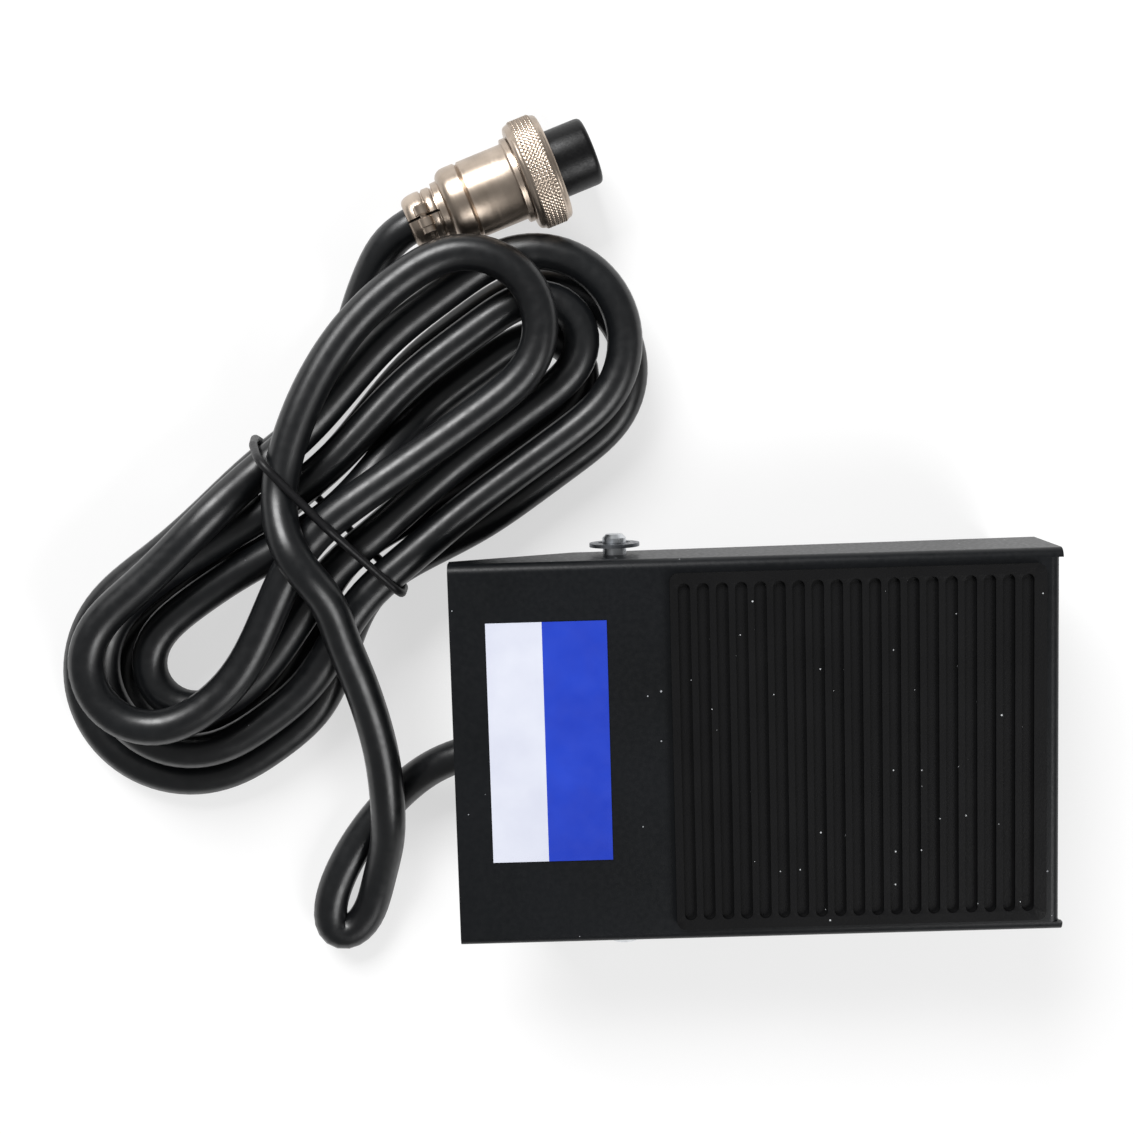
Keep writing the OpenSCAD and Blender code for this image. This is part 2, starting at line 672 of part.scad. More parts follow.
module switch_cover() {
    color("#2b2c31") difference() {
        translate([case_x, -case_w / 2, case_z]) cube([case_l, cover_t, case_h]);
        for (i = [0, 1]) translate([hole_x[i], -case_w / 2 - over, hole_z[i]]) rotate([-90, 0, 0])
            cylinder(r = screw_r + screw_gap, h = cover_t + 2 * over);
    }
}
module switch_screws() {
    color("#c9cacc") for (i = [0, 1]) translate([hole_x[i], -case_w / 2, hole_z[i]]) rotate([90, 0, 0])
        screw(case_w + bracket_t + nut3_t + edge_r);
}
module switch_nuts() {
    color("#b5b8bb") for (i = [0, 1])
        translate([hole_x[i], bracket_y + bracket_t, hole_z[i]]) rotate([-90, 0, 0])
        difference() {
            cylinder(r = nut3_r, h = nut3_t, $fn = 6);
            translate([0, 0, -over]) cylinder(r = screw_r + seat_gap, h = nut3_t + 2 * over);
        }
}
module switch_lever() {
    color("#c4c6c9") lever_frame(lever_rest) difference() {
        union() {
            translate([0, -lever_w / 2, -lever_t / 2]) cube([lever_l, lever_w, lever_t]);
            rotate([90, 0, 0]) cylinder(r = lever_barrel_r, h = lever_w, center = true);
            translate([lever_l, 0, 0]) rotate([90, 0, 0])
                cylinder(r = lever_tip_r, h = lever_w, center = true);
        }
        rotate([90, 0, 0]) cylinder(r = lever_pin_r + run_gap, h = lever_w + 2 * over, center = true);
    }
}
module lever_pin() {
    color("#d4d5d8") translate([lever_x, 0, lever_z]) rotate([90, 0, 0])
        cylinder(r = lever_pin_r, h = lever_w + 2 * (ear_gap + ear_t), center = true);
}
module switch_plunger() {
    color("#8b1f1f") translate([plunger_x, 0, 0]) {
        translate([0, 0, nib_z]) cylinder(r = nib_r, h = plunger_collar_z - nib_z);
        translate([0, 0, nib_z]) sphere(r = nib_r, $fn = 24);
        translate([0, 0, plunger_collar_z]) cylinder(r = plunger_collar_r, h = plunger_collar_t);
        translate([0, 0, plunger_collar_z]) cylinder(r = plunger_r, h = dome_z - plunger_collar_z);
        translate([0, 0, dome_z]) sphere(r = plunger_r);
    }
}
module contact_blade() {
    color("#c98b4a") translate([blade_x, 0, blade_z]) rotate([0, -blade_half, 0]) difference() {
        union() {
            translate([0, -blade_w / 2, -blade_t / 2]) cube([blade_l, blade_w, blade_t]);
            rotate([90, 0, 0]) cylinder(r = blade_barrel_r, h = blade_w, center = true);
            translate([button_reach, 0, -blade_t / 2 - button_t])
                cylinder(r = button_r, h = blade_t + 2 * button_t);
        }
        rotate([90, 0, 0]) cylinder(r = blade_pin_r + run_gap, h = blade_w + 2 * over, center = true);
    }
}
// a flat terminal from inside x to outside x, the tab's hole near its end
module tab(x_in, x_out, z) {
    s = x_out > x_in ? 1 : -1;
    difference() {
        translate([min(x_in, x_out), -tab_w / 2, z - tab_t / 2]) cube([abs(x_out - x_in), tab_w, tab_t]);
        translate([x_out - s * tab_w / 2, 0, z - tab_t]) cylinder(r = tab_hole_r, h = 2 * tab_t);
    }
}
module terminal_com() {
    half = blade_w / 2 + ear_gap;
    color("#c9a24a") {
        tab(blade_x + com_ear_w, case_x - tab_out, com_z);
        for (s = [-1, 1])
            translate([blade_x - com_ear_w / 2, s * (half + com_ear_t / 2) - com_ear_t / 2, com_z - tab_t / 2])
                cube([com_ear_w, com_ear_t, blade_z - com_z + tab_t / 2 + blade_pin_r]);
        translate([blade_x - com_ear_w / 2, -half - com_ear_t, com_z - tab_t / 2])
            cube([com_ear_w, 2 * (half + com_ear_t), tab_t]);
        translate([blade_x, 0, blade_z]) rotate([90, 0, 0])
            cylinder(r = blade_pin_r, h = 2 * half, center = true);
    }
}
module terminal_nc() {
    x = blade_x + button_reach * cos(blade_half);
    color("#c9a24a") {
        tab(x - button_r, case_x + case_l + tab_out, nc_z);
        translate([x, 0, nc_z - tab_t / 2 - button_t]) cylinder(r = button_r, h = button_t + tab_t / 2);
    }
}
module terminal_no() {
    x = blade_x + button_reach * cos(blade_half);
    color("#c9a24a") {
        tab(x - button_r, case_x + case_l + tab_out, no_z);
        translate([x, 0, no_z]) cylinder(r = button_r, h = tab_t / 2 + button_t);
    }
}

// wires and cable entry
// points of the three wires' routes inside the tray, chosen by hand
com_route = [[-12.5, 0, com_z], [-15, 0, 11], [-20, -0.5, 10], [-25, -0.6, 9.9], [-28, -0.6, 9.9],
    [-30, -0.6, 9.9]];
nc_route = [[24.3, 0, nc_z], [26.5, -0.2, 15.4], [28, -2.5, 14.5], [27.5, -6, 13], [24, -9, 12],
    [15, -9.6, 10], [0, -9.6, 8.5], [-14, -8.5, 8.5], [-23, -4.5, 9.6], [-28, -2.7, 9.9], [-30, -2.7, 9.9]];
no_route = [[24.3, 0, no_z], [26, -0.2, 9.2], [27, -2.5, 8.5], [26, -5.5, 7.5], [22, -7.4, 6.5],
    [12, -7.6, 5.5], [-2, -7.4, 5.5], [-14, -5.5, 6], [-23, -2.4, 7.3], [-28, -1.6, 7.5], [-30, -1.6, 7.5]];
module wire(route, from, to) {
    p = smooth(route, 2);
    tube(p, wire_d / 2, 8, [0, 0, 1], from, to);
}
module wire_com() color("#2f6db5") wire(com_route, [-1, 0, 0], [-1, 0, 0]);
module wire_nc() color("#b5312f") wire(nc_route, [1, 0, 0], [-1, 0, 0]);
module wire_no() color("#c9a818") wire(no_route, [1, 0, 0], [-1, 0, 0]);
module along_cable(x) {
    translate([x, cable_y, cable_z]) rotate([0, 90, 0]) children();
}
module cable_grommet() {
    color("#17171a") difference() {
        union() {
            along_cable(tray_x0) cylinder(r = grommet_groove_r, h = sheet_t);
            along_cable(tray_x0 + sheet_t) cylinder(r = grommet_flange_r, h = grommet_flange_t);
            along_cable(tray_x0 - grommet_flange_t) cylinder(r = grommet_flange_r, h = grommet_flange_t);
            along_cable(nose_x)
                cylinder(r1 = grommet_nose_r, r2 = grommet_flange_r - edge_r, h = grommet_nose_l);
        }
        along_cable(nose_x - over)
            cylinder(r = cord_r + run_gap, h = grommet_nose_l + 2 * grommet_flange_t + sheet_t + 2 * over);
    }
}
module cable_saddle() {
    color("#3a3b3f") difference() {
        translate([clamp_x, cable_y - clamp_w / 2, floor_z])
            cube([clamp_l, clamp_w, cable_z - strap_gap / 2 - floor_z]);
        along_cable(clamp_x - over) cylinder(r = cord_r + seat_gap, h = clamp_l + 2 * over);
        for (s = [-1, 1]) translate([clamp_x + clamp_l / 2, cable_y + s * clamp_screw_y, floor_z - over])
            cylinder(r = screw_r + screw_gap, h = cable_z - floor_z + 2 * over);
    }
}
module cable_strap() {
    low = cable_z + strap_gap / 2;
    color("#c0c2c5") difference() {
        union() {
            translate([clamp_x, cable_y - clamp_w / 2, low]) cube([clamp_l, clamp_w, strap_t]);
            intersection() {
                along_cable(clamp_x) cylinder(r = cord_r + strap_t, h = clamp_l);
                translate([clamp_x, cable_y - clamp_w / 2, low]) cube([clamp_l, clamp_w, clamp_w]);
            }
        }
        along_cable(clamp_x - over) cylinder(r = cord_r + seat_gap, h = clamp_l + 2 * over);
        for (s = [-1, 1]) translate([clamp_x + clamp_l / 2, cable_y + s * clamp_screw_y, low - over])
            cylinder(r = screw_r + screw_gap, h = strap_t + 2 * over);
    }
}
module clamp_screws() {
    top = cable_z + strap_gap / 2 + strap_t;
    color("#c9cacc") for (s = [-1, 1])
        translate([clamp_x + clamp_l / 2, cable_y + s * clamp_screw_y, top])
            screw(top - foot_h + post_rivet_out);
}
module cord_inner() {
    color("#141416") along_cable(nose_x) cylinder(r = cord_r, h = cord_end_x - nose_x);
}

// cord outside
// points of the free stretches' routes, chosen by hand; the last point of the first
// and the first of the second are those of the hank
lead_route = [[-45.3, -1.6, 9], [-50.8, -2.9, 8.3], [-55.6, -5.4, 6.6], [-59.6, -8.8, 4.4], [-63.6, -12.8, 3.2],
    [-68, -18, 3.1], [-71.8, -24.2, 3.1], [-74.3, -30.5, 3.3], [-74.2, -35.7, 3.7], [-70.3, -36.4, 3.1],
    [-66.4, -31.3, 3.1], [-65.2, -25.6, 4.6], [-63, -18.8, 7.6], [-62.4, -11, 11.2], [-62.8, -2.1, 12.6],
    [-64.3, 6, 14.6], [-66.3, 13.6, 16.6], [-68.7, 20.6, 19.2], [-70, 27.7, 22.2], [-74.4, 32.2, 24.2],
    [-76.3, 36.4, 23.1], [-77.4, 39.8, 20.6]];
lead_steps = 3;
tail_route = [[-69, 60.7, 3.4], [-66.3, 68, 3.1], [-64.2, 75, 4], [-61.5, 80.2, 6.4], [-58.9, 85.3, 8.6]];
tail_steps = 2;

// hank: loops thrown to both sides of the waist, u along it and v across
hank_at = [-70.3, 39.2];
hank_turn = 34.5;
level = cord_d + level_gap;
pass = cord_d + pass_gap;
// each half loop: side, reach, place of its first and second leg, length over which
// each leg leaves the waist, where the legs leave the waist's level, level of the loop
half_loops = [
    [1, 50.5, 24.4, -0.5, 32.3, 28.4, 0, 10, 0, 10, 2],
    [-1, 48.9, -13.1, 9.4, 32.9, 37.7, 0, 10, 3, 16, 2],
    [1, 61.2, 18.8, -12.4, 30.5, 21.6, 0, 10, 0, 10, 1],
    [-1, 49.4, -21.3, 9.1, 23.7, 29.5, 0, 10, 0, 10, 1],
    [1, 54.3, 10.9, -5, 29.7, 27.2, 0, 10, 0, 10, 1],
    [-1, 41.7, -14.7, 2.2, 30.3, 24, 0, 10, 0, 10, 1],
    [1, 51, 5.2, -10, 27, 27.7, 5, 26, 0, 10, 0],
    [-1, 48.6, -19.2, 3.5, 30.8, 34, 0, 10, 0, 10, 0],
    [1, 59.6, 13, -16.7, 31.6, 24.1, 0, 10, 0, 10, 0],
    [-1, 55.6, -26.4, 12, 26.1, 29.4, 0, 10, 0, 10, 0]];
// the waist's passes in turn: column and level; the first is where the hank starts
waist = [[1.7, 2.05], [0, 2], [2, 1.05], [-2, 1], [1, 1], [-1, 1], [0, 1], [-1, 0], [1, 0], [-2, 0],
    [2.14, 0]];
half_rings = 12;
round_share = 1.8;
function half_point(i, s) =
    let (q = half_loops[i], a = waist[i], b = waist[i + 1],
        av = a[0] * pass, bv = b[0] * pass, h = abs(q[2] - q[3]) / 2, c = (q[2] + q[3]) / 2,
        d = sign(q[2] - q[3]), uc = q[1] - h, arc = round_share * PI * h, x = s * (2 * uc + arc),
        f1 = ease(uc / q[4]), f2 = ease(uc / q[5]))
    x < uc
    ? let (f = i == 0 ? 1 - pow(1 - min(x / q[4], 1), 2) : ease(x / q[4]))
        hank_place(q[0] * x, av + (q[2] - av) * f, a[1] + (q[10] - a[1]) * ease((x - q[6]) / (q[7] - q[6])))
    : x < uc + arc
    ? let (ph = (x - uc) / arc * 180, e = pow(1 - sin(ph), 2),
        fix = ph < 90 ? (1 - f1) * (av - q[2]) : (1 - f2) * (bv - q[3]))
        hank_place(q[0] * (uc + h * sin(ph)), c + d * h * cos(ph) + fix * e, q[10])
    : let (u = 2 * uc + arc - x)
        hank_place(q[0] * u, bv + (q[3] - bv) * ease(u / q[5]),
            b[1] + (q[10] - b[1]) * ease((u - q[8]) / (q[9] - q[8])));
lift_flat = 3;
lift_run = 24;
function lift_at(u) = waist_lift * (1 - ease((abs(u) - lift_flat) / lift_run));
function hank_place(u, v, l) = [u, v, cord_r + level * l + lift_at(u)];
function to_room(p) = [hank_at[0] + p[0] * cos(hank_turn) - p[1] * sin(hank_turn),
    hank_at[1] + p[0] * sin(hank_turn) + p[1] * cos(hank_turn), p[2]];
hank_body = [for (i = [0:len(half_loops) - 1]) for (k = [0:half_rings - 1]) half_point(i, k / half_rings),
    half_point(len(half_loops) - 1, 1)];
hank_in = [cos(45), sin(45), 0];
hank_out = [1, 0, 0];
hank_path = [hank_body[0] - cord_d * hank_in, for (p = hank_body) p,
    hank_body[len(hank_body) - 1] + cord_d * hank_out];
hank_room = [for (p = hank_path) to_room(p)];
function turned(d) = [d[0] * cos(hank_turn) - d[1] * sin(hank_turn),
    d[0] * sin(hank_turn) + d[1] * cos(hank_turn), 0];
// points along a path with others between them, and the least gap of a tube to itself
function finer(p, n) = [for (i = [0:len(p) - 2]) for (k = [0:n - 1]) p[i] + (p[i + 1] - p[i]) * k / n,
    p[len(p) - 1]];
function steps(p) = [for (i = 0, s = 0; i < len(p);
    s = s + (i < len(p) - 1 ? norm(p[i + 1] - p[i]) : 0), i = i + 1) s];
function least(p, s, d, apart) = min([for (i = [0:len(p) - 1]) for (j = [i + 1:1:len(p) - 1])
    if (s[j] - s[i] > apart) norm(p[i] - p[j])]) - d;
hank_apart = 22;
module cord_hank() {
    fine = finer(hank_path, 4);
    echo(hank_gap = least(fine, steps(fine), cord_d, hank_apart), hank_length = path_len(hank_path));
    color("#141416") tube(hank_room, cord_r, 6, [0, 0, 1], turned(hank_in), turned(hank_out));
}
lead_path = smooth(concat(lead_route, [hank_room[0]]), lead_steps);
module cord_lead() {
    echo(lead_length = path_len(lead_path), lead_rings = len(lead_path));
    color("#141416") tube(lead_path, cord_r, 10, [0, 0, 1], [-1, 0, 0], turned(hank_in));
}
plug_dir = [cos(plug_turn), sin(plug_turn), 0];
plug_rear = [plug_x, plug_y, plug_z];
tail_path = concat(smooth(concat([hank_room[len(hank_room) - 1]], tail_route,
    [plug_rear]), tail_steps), [plug_rear + collar_l * plug_dir]);
module cord_tail() {
    echo(tail_length = path_len(tail_path), tail_rings = len(tail_path));
    color("#141416") tube(tail_path, cord_r, 10, [0, 0, 1], turned(hank_out), plug_dir);
}
// the tie's way round the waist, across and up, in the hank's own passes and levels
tie_side = 2.14 * pass + cord_r + tie_d / 2 + free_gap / 2;
tie_low = tie_d / 2;
tie_mid = cord_r + level + waist_lift + cord_r;
tie_top = cord_r + 2 * level + waist_lift + cord_r + tie_d / 2 + free_gap;
tie_slant = 5;
tie_shares = [[-1, tie_low], [-1, tie_mid], [-0.3, tie_top], [0.2, tie_top], [0.88, tie_top],
    [1, tie_mid], [1, tie_low]];
tie_steps = 3;
module cord_tie() {
    m = len(tie_shares);
    ring = [for (i = [0:m - 1]) for (k = [0:tie_steps - 1])
        let (a = tie_shares[i], b = tie_shares[(i + 1) % m],
        w = a + (b - a) * k / tie_steps) to_room([-w[0] * tie_slant / 2, w[0] * tie_side, w[1]])];
    color("#1c1c1e") tube_loop(ring, tie_d / 2, 6, turned([1, 0, 0]));
}

// plug
module on_plug(x = 0) {
    translate([plug_x, plug_y, plug_z]) rotate([0, 0, plug_turn]) translate([x, 0, 0])
        rotate([0, 90, 0]) children();
}
module plug_shell() {
    shoulder = shell_r * 0.2;
    mark_x = collar_l + shell_l * 0.35;
    ring_x = nut_x0 + nut_play + nut_lip + touch_gap;
    color("#cfc9bd") difference() {
        union() {
            on_plug() rotate_extrude() polygon([
                [0, collar_l], [shell_r - shoulder, collar_l],
                for (a = [15:15:90])
                    [shell_r - shoulder + shoulder * sin(a), collar_l + shoulder - shoulder * cos(a)],
                [shell_r, mark_x], [shell_r - groove_small, mark_x],
                [shell_r - groove_small, mark_x + 2 * groove_small], [shell_r, mark_x + 2 * groove_small],
                [shell_r, nut_x0 - shell_flange_t], [shell_flange_r, nut_x0 - shell_flange_t],
                [shell_flange_r, nut_x0], [shell_r, nut_x0], [shell_r, ring_x - seat_gap],
                [ring_groove_r, ring_x - seat_gap], [ring_groove_r, ring_x + ring_t + seat_gap],
                [shell_r, ring_x + ring_t + seat_gap], [shell_r, shell_barrel_x],
                [insert_r - insert_step + seat_gap, shell_barrel_x],
                [insert_r - insert_step + seat_gap, insert_back_x], [0, insert_back_x]]);
            half_collar(1);
        }
        on_plug(insert_screw_x) rotate([0, 90, 0])
            cylinder(r = insert_screw_r + seat_gap, h = shell_r + over);
    }
}
// one half of the rear clamp, split upright along the axis; its ears are above and below
module half_collar(side) {
    on_plug() rotate(90) difference() {
        union() {
            cylinder(r = collar_r - collar_edge, h = collar_l);
            translate([0, 0, collar_edge]) cylinder(r = collar_r, h = collar_l - 2 * collar_edge);
            for (s = [-1, 1]) translate([0, s * ear_y, collar_l / 2]) rotate([0, 90, 0])
                cylinder(r = clamp_ear_r, h = 2 * clamp_ear_t, center = true);
        }
        translate([0, 0, -over]) cylinder(r = cord_r + seat_gap, h = collar_l + 2 * over);
        translate([side > 0 ? -collar_r - over : -split_gap / 2, -2 * collar_r, -over])
            cube([collar_r + over + split_gap / 2, 4 * collar_r, collar_l + 2 * over]);
        for (s = [-1, 1]) translate([0, s * ear_y, collar_l / 2]) rotate([0, 90, 0]) {
            cylinder(r = clamp_screw_r + seat_gap, h = 3 * collar_r, center = true);
            translate([0, 0, clamp_ear_t]) cylinder(r = clamp_head_r + seat_gap, h = collar_r);
            translate([0, 0, -clamp_ear_t - collar_r]) cylinder(r = clamp_head_r + seat_gap, h = collar_r);
        }
    }
}
module plug_collar() color("#d6d1c6") half_collar(-1);
module plug_collar_screws() {
    color("#dcd8cf") for (s = [-1, 1])
        on_plug() rotate(90) translate([0, s * ear_y, collar_l / 2]) rotate([0, -90, 0]) difference() {
            union() {
                translate([0, 0, -clamp_ear_t]) cylinder(r = clamp_screw_r, h = 2 * clamp_ear_t);
                translate([0, 0, clamp_ear_t]) cylinder(r = clamp_head_r, h = clamp_head_t);
            }
            translate([-clamp_head_r - over, -clamp_head_t / 4, clamp_ear_t + clamp_head_t / 2])
                cube([2 * (clamp_head_r + over), clamp_head_t / 2, clamp_head_t]);
        }
}
module coupling_nut() {
    back = nut_x0 + nut_play;
    color("#d8d2c4") on_plug() rotate_extrude($fn = 64) polygon([
        [shell_r + nut_gap, back], [nut_r - nut_edge, back], [nut_r, back + nut_edge],
        [nut_r, nut_x1 - nut_edge], [nut_r - nut_edge, nut_x1], [nut_bore_r, nut_x1],
        [nut_bore_r, back + nut_lip], [shell_r + nut_gap, back + nut_lip]]);
}
module retaining_ring() {
    color("#b9b6ae") on_plug(nut_x0 + nut_play + nut_lip + touch_gap) linear_extrude(ring_t) difference() {
        circle(r = ring_r);
        circle(r = ring_groove_r + seat_gap);
        translate([0, -ring_groove_r / 4]) square([ring_r + over, ring_groove_r / 2]);
    }
}
module plug_insert() {
    thin = insert_r - insert_step;
    color("#141415") difference() {
        on_plug() rotate_extrude() polygon([
            [0, insert_back_x], [thin, insert_back_x], [thin, nut_x1], [insert_r, nut_x1],
            for (a = [0:30:90]) [insert_r - insert_edge + insert_edge * cos(a),
                insert_x1 - insert_edge + insert_edge * sin(a)],
            [0, insert_x1]]);
        for (i = [0:socket_n - 1]) on_plug(insert_x1 - socket_l) rotate(360 * i / socket_n)
            translate([socket_pitch_r, 0, 0]) cylinder(r = socket_r, h = socket_l + over, $fn = 24);
        on_plug(insert_screw_x) translate([insert_screw_in - edge_r, 0, 0]) rotate([0, 90, 0])
            cylinder(r = insert_screw_r + seat_gap, h = shell_r);
    }
}
module contact_sockets() {
    color("#c9a24a") for (i = [0:socket_n - 1]) on_plug(insert_x1 - socket_l) rotate(360 * i / socket_n)
        translate([socket_pitch_r, 0, 0]) difference() {
            cylinder(r = socket_r - seat_gap, h = socket_l - edge_r, $fn = 24);
            translate([0, 0, edge_r]) cylinder(r = socket_r - socket_wall, h = socket_l, $fn = 24);
        }
}
module insert_screw() {
    color("#c9c4b8") on_plug(insert_screw_x) translate([insert_screw_in, 0, 0]) rotate([0, 90, 0]) difference() {
        cylinder(r = insert_screw_r, h = shell_r - insert_screw_in - edge_r / 2);
        translate([-insert_screw_r - over, -edge_r / 2, shell_r - insert_screw_in - edge_r])
            cube([2 * (insert_screw_r + over), edge_r, over]);
    }
}

pedal_cover();
tread_pad();
label();
hinge_pin();
e_clip();
hinge_bushes();
base_tray();
feet();
return_spring();
spring_post();
switch_bracket();
bracket_screws();
switch_case();
switch_cover();
switch_screws();
switch_nuts();
switch_lever();
lever_pin();
switch_plunger();
contact_blade();
terminal_com();
terminal_nc();
terminal_no();
wire_com();
wire_nc();
wire_no();
cable_grommet();
cable_saddle();
cable_strap();
clamp_screws();
cord_inner();
cord_lead();
cord_hank();
cord_tail();
cord_tie();
plug_shell();
plug_collar();
plug_collar_screws();
coupling_nut();
retaining_ring();
plug_insert();
contact_sockets();
insert_screw();
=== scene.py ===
"""Looks of an industrial foot switch: black enamelled pedal with a ribbed rubber tread,
a tied hank of PVC cord and a nickel-plated screw-coupled plug. Metres, +Z up."""

import math

import bmesh
import bpy
from mathutils import Euler, Matrix, Vector


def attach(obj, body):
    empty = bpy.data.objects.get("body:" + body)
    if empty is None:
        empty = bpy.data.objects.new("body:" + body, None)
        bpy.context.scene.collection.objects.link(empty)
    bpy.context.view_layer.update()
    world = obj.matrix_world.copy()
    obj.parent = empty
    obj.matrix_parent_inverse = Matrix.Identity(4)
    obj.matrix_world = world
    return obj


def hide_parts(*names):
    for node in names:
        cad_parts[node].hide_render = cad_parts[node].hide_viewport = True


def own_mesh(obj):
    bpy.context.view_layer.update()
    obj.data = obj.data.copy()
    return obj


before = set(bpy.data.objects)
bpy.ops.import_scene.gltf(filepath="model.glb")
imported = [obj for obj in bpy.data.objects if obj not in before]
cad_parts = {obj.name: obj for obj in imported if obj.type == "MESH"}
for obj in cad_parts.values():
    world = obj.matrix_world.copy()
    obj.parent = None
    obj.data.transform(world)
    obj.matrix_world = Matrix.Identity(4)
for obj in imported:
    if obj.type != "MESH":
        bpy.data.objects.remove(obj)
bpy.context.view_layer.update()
MM = 0.001
scene = bpy.context.scene
scene.view_settings.view_transform = "Standard"

# Camera: straight down on the switch, a little from the heel and the clip's side, as
# solved from the pedal's four corners; the photograph is 1134 pixels square.
PHOTO_SIZE = 1134
FOCAL_PIXELS = 1700
camera_data = bpy.data.cameras.new("camera")
camera_data.sensor_width = 36
camera_data.lens = FOCAL_PIXELS / PHOTO_SIZE * camera_data.sensor_width
camera_data.clip_start = 0.01
camera_data.clip_end = 20
camera = bpy.data.objects.new("camera", camera_data)
camera.location = Vector((-43.1974, 63.134, 297.9879)) * MM
camera.rotation_euler = Euler((-0.1147, -0.0481, -0.0299))
scene.collection.objects.link(camera)
scene.camera = camera

# The cord's sizes and route repeat those of the solids, in millimetres until the end.
CORD = 6.0
HALF_CORD = CORD / 2
LEAD_ROUTE = [
    (-45.3, -1.6, 9), (-50.8, -2.9, 8.3), (-55.6, -5.4, 6.6), (-59.6, -8.8, 4.4),
    (-63.6, -12.8, 3.2), (-68, -18, 3.1), (-71.8, -24.2, 3.1), (-74.3, -30.5, 3.3),
    (-74.2, -35.7, 3.7), (-70.3, -36.4, 3.1), (-66.4, -31.3, 3.1), (-65.2, -25.6, 4.6),
    (-63, -18.8, 7.6), (-62.4, -11, 11.2), (-62.8, -2.1, 12.6), (-64.3, 6, 14.6),
    (-66.3, 13.6, 16.6), (-68.7, 20.6, 19.2), (-70, 27.7, 22.2), (-74.4, 32.2, 24.2),
    (-76.3, 36.4, 23.1), (-77.4, 39.8, 20.6),
]
TAIL_ROUTE = [(-69, 60.7, 3.4), (-66.3, 68, 3.1), (-64.2, 75, 4), (-61.5, 80.2, 6.4), (-58.9, 85.3, 8.6)]
PLUG_REAR = Vector((-54.9, 87.7, 9.35))
PLUG_TURN = math.radians(20.5)
PLUG_DIRECTION = Vector((math.cos(PLUG_TURN), math.sin(PLUG_TURN), 0))
REAR_CLAMP_LENGTH = 5.6
HANK_AT = Vector((-70.3, 39.2))
HANK_TURN = math.radians(34.5)
LEVEL_STEP = CORD + 0.6
PASS_STEP = CORD + 0.8
WAIST_LIFT = 1.7
LIFT_FLAT, LIFT_RUN = 3, 24
ROUND_SHARE = 1.8
# side, reach, place of the first and second leg, how far each takes to leave the waist,
# where each changes level, and the loop's level
HALF_LOOPS = [
    (1, 50.5, 24.4, -0.5, 32.3, 28.4, 0, 10, 0, 10, 2),
    (-1, 48.9, -13.1, 9.4, 32.9, 37.7, 0, 10, 3, 16, 2),
    (1, 61.2, 18.8, -12.4, 30.5, 21.6, 0, 10, 0, 10, 1),
    (-1, 49.4, -21.3, 9.1, 23.7, 29.5, 0, 10, 0, 10, 1),
    (1, 54.3, 10.9, -5, 29.7, 27.2, 0, 10, 0, 10, 1),
    (-1, 41.7, -14.7, 2.2, 30.3, 24, 0, 10, 0, 10, 1),
    (1, 51, 5.2, -10, 27, 27.7, 5, 26, 0, 10, 0),
    (-1, 48.6, -19.2, 3.5, 30.8, 34, 0, 10, 0, 10, 0),
    (1, 59.6, 13, -16.7, 31.6, 24.1, 0, 10, 0, 10, 0),
    (-1, 55.6, -26.4, 12, 26.1, 29.4, 0, 10, 0, 10, 0),
]
# the waist's passes in turn: column and level; the first is where the hank starts
WAIST = [(1.7, 2.05), (0, 2), (2, 1.05), (-2, 1), (1, 1), (-1, 1), (0, 1), (-1, 0), (1, 0), (-2, 0),
         (2.14, 0)]


def ease(x):
    x = min(max(x, 0.0), 1.0)
    return x * x * (3 - 2 * x)


def lifted(u, v, level):
    """A point of the hank in its own frame, raised where the tie runs under the waist."""
    lift = WAIST_LIFT * (1 - ease((abs(u) - LIFT_FLAT) / LIFT_RUN))
    return Vector((u, v, HALF_CORD + LEVEL_STEP * level + lift))


def hank_point(index, share):
    side, reach, v1, v2, out1, out2, a0, a1, b0, b1, top = HALF_LOOPS[index]
    (start, start_level), (end, end_level) = WAIST[index], WAIST[index + 1]
    start, end = start * PASS_STEP, end * PASS_STEP
    bend, middle = abs(v1 - v2) / 2, (v1 + v2) / 2
    turn = 1 if v1 > v2 else -1
    straight = reach - bend
    arc = ROUND_SHARE * math.pi * bend
    x = share * (2 * straight + arc)
    if x < straight:
        f = 1 - (1 - min(x / out1, 1)) ** 2 if index == 0 else ease(x / out1)
        level = start_level + (top - start_level) * ease((x - a0) / (a1 - a0))
        return lifted(side * x, start + (v1 - start) * f, level)
    if x < straight + arc:
        angle = (x - straight) / arc * math.pi
        late = (1 - math.sin(angle)) ** 2
        if angle < math.pi / 2:
            late *= (1 - ease(straight / out1)) * (start - v1)
        else:
            late *= (1 - ease(straight / out2)) * (end - v2)
        across = middle + turn * bend * math.cos(angle) + late
        return lifted(side * (straight + bend * math.sin(angle)), across, top)
    u = 2 * straight + arc - x
    level = end_level + (top - end_level) * ease((u - b0) / (b1 - b0))
    return lifted(side * u, end + (v2 - end) * ease(u / out2), level)


def hank_to_room(p):
    c, s = math.cos(HANK_TURN), math.sin(HANK_TURN)
    return Vector((HANK_AT.x + p.x * c - p.y * s, HANK_AT.y + p.x * s + p.y * c, p.z))


def smooth_route(points, steps):
    """A smooth line through chosen points, so many steps from one to the next."""
    points = [Vector(p) for p in points]
    out = []
    for i in range(len(points) - 1):
        a, b, c = points[max(i - 1, 0)], points[i], points[i + 1]
        d = points[min(i + 2, len(points) - 1)]
        for k in range(steps):
            t = k / steps
            pull, bow, twist = c - a, 2 * a - 5 * b + 4 * c - d, 3 * b - a - 3 * c + d
            out.append(0.5 * (2 * b + pull * t + bow * t ** 2 + twist * t ** 3))
    return out + [points[-1]]


